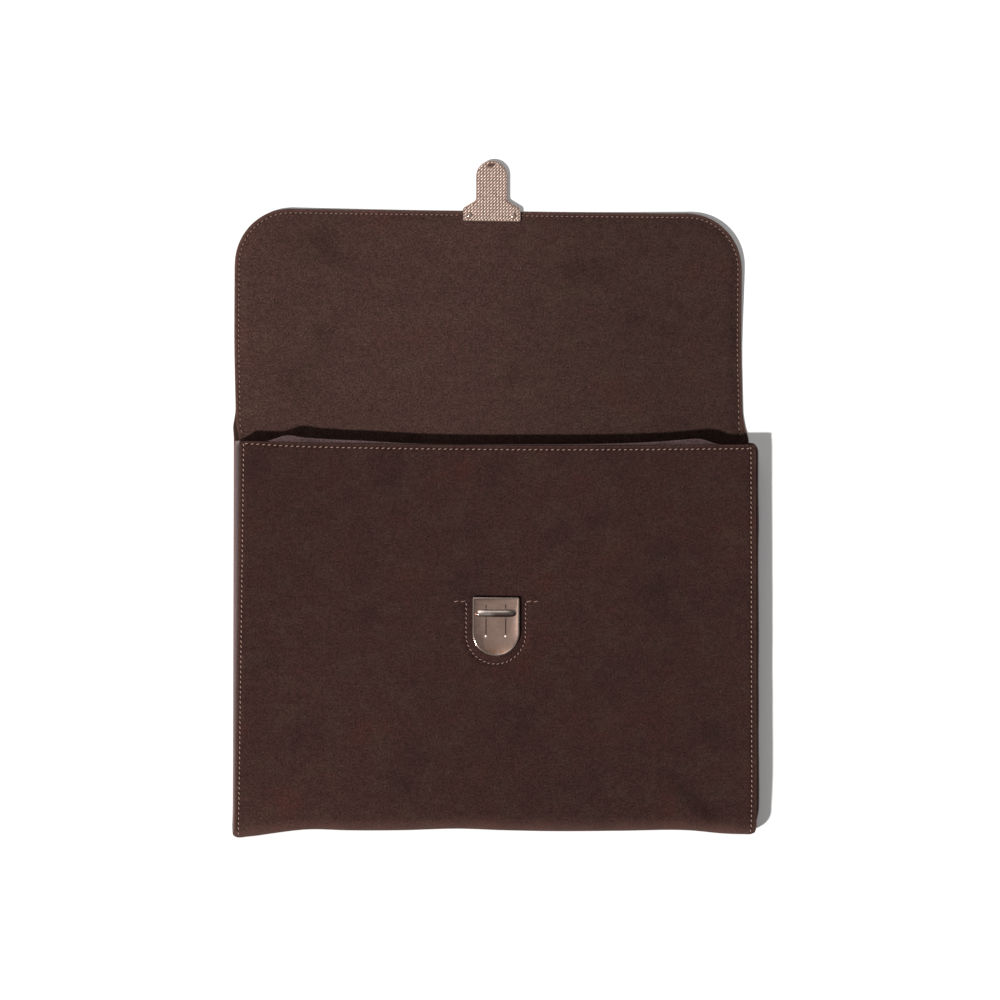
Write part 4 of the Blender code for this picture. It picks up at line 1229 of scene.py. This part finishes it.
def make_tongue(polished, grain, groove, steel, dark):
    low, top = BLADE[0].z, BLADE[1].z
    rings = [(tongue_outline(0.25 * MM), low), (tongue_outline(0.05 * MM), low + 0.12 * MM),
             (tongue_outline(0), low + 0.3 * MM), (tongue_outline(0), top - 0.25 * MM),
             (tongue_outline(0.1 * MM), top - 0.08 * MM), (tongue_outline(0.3 * MM), top),
             (tongue_outline(0.62 * MM), top), (tongue_outline(0.75 * MM), top - 0.12 * MM)]
    blade = stacked("tongue_plate", rings, groove)
    blade.data.materials.append(polished)
    for polygon in blade.data.polygons:
        if len(polygon.vertices) == 4:
            polygon.material_index = 1
    slot_y = BLADE[1].y - 3.4 * MM
    slot = rounded_bar(-2.8 * MM, 2.8 * MM, slot_y - 1.0 * MM, slot_y + 1.0 * MM, 0.8 * MM, 5)
    cut(blade, [stacked("catch_cutter", [(slot, low + 0.2 * MM), (slot, top + MM)], steel)])
    blade.data.materials.append(dark)
    for polygon in blade.data.polygons:
        x, y, z = polygon.center
        if abs(x) < 3 * MM and abs(y - slot_y) < 1.2 * MM and low + 0.1 * MM < z < top - 0.15 * MM:
            polygon.material_index = len(blade.data.materials) - 1
    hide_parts("tongue_blade")
    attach(blade, "flap")

    def clear(x, y):
        near_slot = abs(x) < 3.2 * MM and abs(y - slot_y) < 1.5 * MM
        near_rivet = min(math.hypot(x - (r[0].x + r[1].x) / 2, y - (r[0].y + r[1].y) / 2)
                         for r in (RIVET_LEFT, RIVET_RIGHT)) < 2.2 * MM
        return inside_tongue(x, y, 0.7 * MM) and not near_slot and not near_rivet

    centres = []
    run = Vector((math.cos(GRAIN_ANGLE), math.sin(GRAIN_ANGLE)))
    reach = 1.62 * MM
    for i in range(-12, 13):
        for j in range(0, 21):
            x, y = i * GRAIN_PITCH, BLADE[0].y + (j + 0.35) * GRAIN_PITCH
            samples = [t for t in np.linspace(-1, 1, 13)
                       if clear(x + run.x * reach * t, y + run.y * reach * t)]
            if len(samples) >= 4:
                centres.append((x, y, min(samples), max(samples)))
    rings = []
    side = np.array((-run.y, run.x, 0))
    lead = np.array((run.x, run.y, 0))
    up = np.array((0, 0, 1.0))
    for x, y, first, last in centres:
        middle = np.array((x, y, top - 0.05 * MM)) + lead * reach * (first + last) / 2
        half = reach * (last - first) / 2
        shape = []
        for t in np.linspace(-1, 1, 7):
            swell = math.sqrt(max(1 - (abs(t) ** 2.4), 0.02))
            centre = middle + lead * half * t
            ring = [centre + side * 0.52 * MM * swell * math.cos(a) + up * 0.42 * MM * swell * math.sin(a)
                    for a in np.linspace(0, math.tau, 10, endpoint=False)]
            shape.append(ring)
        rings.append(shape)
    grains = add_object("tongue_grain", tubes_mesh("tongue_grain", np.array(rings)), grain)
    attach(grains, "flap")

    for name, box in (("left", RIVET_LEFT), ("right", RIVET_RIGHT)):
        x, y = (box[0].x + box[1].x) / 2, (box[0].y + box[1].y) / 2
        head = dome(f"tongue_rivet_head_{name}", x, y, top + 0.05 * MM, 1.9 * MM, 0.6 * MM, polished)
        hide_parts(f"tongue_rivet_{name}")
        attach(head, "flap")

    base = OUTER_PLATE
    z0, z1 = base[0].z, base[1].z
    x1, y0, y1 = base[1].x, base[0].y, base[1].y
    rings = []
    for inset, z in ((0.35, z0), (0.1, z0 + 0.1 * MM), (0, z0 + 0.3 * MM), (0, z1)):
        rings.append((rounded_bar(-x1 + inset * MM, x1 - inset * MM, y0 + inset * MM,
                                  y1 - inset * MM, 1.4 * MM), z))
    back = stacked("tongue_back_plate", rings, polished)
    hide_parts("tongue_outer_plate")
    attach(back, "flap")


def dress_cad(steel, hidden):
    """The inner CAD pieces that stay get the finish of their own material."""
    kept = {
        steel: ["lock_case", "slider_foot", "catch_leaf", "leaf_rivet_left", "leaf_rivet_right",
                "lock_back_plate", "lock_screw_1", "lock_screw_2", "lock_screw_3", "lock_screw_4"],
        hidden: ["lock_patch"],
    }
    for finish, names in kept.items():
        for name in names:
            for place in frame["nodes"][name].material_slots:
                place.material = finish


# ---- stage, light and camera ---------------------------------------------------------------------
def make_stage():
    n = Nodes("floor_paint")
    place = n.add("ShaderNodeTexCoord").outputs["Object"]
    tone = n.ramp(n.noise(place, 3, 2), [(0.3, (0.80, 0.80, 0.80)), (0.7, (0.82, 0.82, 0.82))])
    n.set(Base_Color=tone, Roughness=0.9, Emission_Color=(1, 1, 1, 1), Emission_Strength=0.09)
    half = 4.0
    mesh = mesh_from("floor", [(-half, -half, 0), (half, -half, 0), (half, half, 0), (-half, half, 0)],
                     [(0, 1, 2, 3)], smooth_all=False)
    add_object("floor", mesh, n.material)


def make_light():
    """A warm sun from the lower left in a dim studio with a panel overhead and a far window."""
    world = bpy.data.worlds.new("studio")
    world.use_nodes = True
    tree = world.node_tree
    back = tree.nodes["Background"]
    place = tree.nodes.new("ShaderNodeTexCoord")
    total = None
    for towards, low, high, strength in (((0.2, 0.05, 1.0), 0.84, 0.92, 0.26),
                                         ((-0.25, 0.80, 0.72), 0.90, 0.98, 1.5)):
        along = tree.nodes.new("ShaderNodeVectorMath")
        along.operation = "DOT_PRODUCT"
        along.inputs[1].default_value = Vector(towards).normalized()
        glow = tree.nodes.new("ShaderNodeMapRange")
        glow.interpolation_type = "SMOOTHERSTEP"
        for key, value in (("From Min", low), ("From Max", high), ("To Min", 0.0),
                           ("To Max", strength)):
            glow.inputs[key].default_value = value
        join = tree.nodes.new("ShaderNodeMath")
        join.inputs[1].default_value = WORLD_FILL
        tree.links.new(place.outputs["Generated"], along.inputs[0])
        tree.links.new(along.outputs["Value"], glow.inputs["Value"])
        tree.links.new(glow.outputs["Result"], join.inputs[0])
        if total is not None:
            tree.links.new(total, join.inputs[1])
        total = join.outputs[0]
    tree.links.new(total, back.inputs["Strength"])
    back.inputs["Color"].default_value = (1.0, 0.985, 0.97, 1)
    bpy.context.scene.world = world
    sun = bpy.data.lights.new("key", "SUN")
    sun.energy = 4.4
    sun.angle = math.radians(3)
    sun.color = (1.0, 0.98, 0.96)
    lamp = bpy.data.objects.new("key", sun)
    lamp.rotation_mode = "QUATERNION"
    lamp.rotation_quaternion = Vector((0.72, 0.43, -1.0)).to_track_quat("-Z", "Y")
    bpy.context.scene.collection.objects.link(lamp)


def make_camera():
    distance = 4.0
    target = Vector((5.4 * MM, -1.0 * MM, 10 * MM))
    back = Vector((-0.14, -0.03, 1.0)).normalized()
    data = bpy.data.cameras.new("camera")
    data.sensor_width = 36
    data.lens = 36 * distance / 0.7288
    camera = bpy.data.objects.new("camera", data)
    roll = math.radians(0.05)
    right = Vector((-math.sin(roll), math.cos(roll), 0)).cross(back).normalized()
    turn = Matrix((right, back.cross(right), back)).transposed()
    camera.matrix_world = Matrix.Translation(target + back * distance) @ turn.to_4x4()
    data.clip_start, data.clip_end = 0.01, 50
    bpy.context.scene.collection.objects.link(camera)
    bpy.context.scene.camera = camera


def main():
    bpy.context.scene.view_settings.view_transform = "Standard"
    leather = nubuck("nubuck", srgb(43, 27, 25), srgb(50, 31, 28), srgb(57, 31, 27), srgb(54, 39, 33),
                     seed=1.3, sheen=0.02)
    # the gussets get a paler, mauve copy of the nubuck: painted light for leather lit at a grazing angle
    side_leather_lit = nubuck("gusset_nubuck_lit", srgb(50, 34, 35), srgb(62, 43, 44), srgb(68, 45, 45),
                          srgb(72, 53, 53), seed=4.1, sheen=0.30)
    suede = nubuck("suede", srgb(52, 35, 31), srgb(60, 41, 37), srgb(66, 41, 36), srgb(65, 48, 41),
                   seed=7.7, sheen=0.03)
    pocket = nubuck("pocket_suede", srgb(66, 51, 52), srgb(76, 60, 60), srgb(81, 62, 62),
                    srgb(82, 67, 66), seed=9.4, sheen=0.06)
    cord = thread("thread", srgb(184, 147, 130))
    flap_cord = thread("flap_thread", srgb(152, 112, 100))
    lock_cord = thread("lock_thread", srgb(166, 126, 114))
    # the face carries a painted copper reflection near its bottom
    champagne = metal("champagne_face", (0.585, 0.396, 0.325), 0.24, brushed=0.25,
                      painted_copper_reflection=(PLATE[0].y + 9 * MM, PLATE[0].y + 2 * MM))
    bright = metal("champagne_polish", (0.80, 0.62, 0.54), 0.10)
    middle = (SLIDER[0].y + SLIDER[1].y) / 2
    # the bar carries a painted dark reflection on its lower side
    bar = metal("champagne_bar", (0.92, 0.76, 0.69), 0.10,
                painted_dark_reflection=(middle + 1.0 * MM, middle - 0.3 * MM))
    grain = metal("champagne_grain", (1.0, 0.85, 0.77), 0.52)
    groove = metal("champagne_groove", (0.36, 0.235, 0.19), 0.5)
    dark = metal("slot_shadow", (0.15, 0.09, 0.075), 0.6)
    steel = metal("plated_steel", (0.5, 0.49, 0.47), 0.3, brushed=0.4)
    wool = felt("felt", (0.2, 0.19, 0.18))
    board = felt("board", (0.3, 0.24, 0.17))
    plain_suede = cut_edge("plain_suede", srgb(74, 54, 50))

    make_body_leather(leather)
    make_sides(side_leather_lit, pocket)
    make_bottom_lining(pocket)
    make_felts(wool)
    make_flap(leather, suede)
    make_flap_board(board)
    make_back_lining(suede)
    make_front_lining(pocket)
    make_front_seams(cord)
    make_lock_seam(lock_cord)
    make_flap_seams(flap_cord)
    make_lock(champagne, bright, grain, steel, dark)
    make_slider(bar)
    make_tongue(bright, grain, groove, steel, dark)
    dress_cad(steel, plain_suede)
    make_stage()
    make_light()
    make_camera()


main()
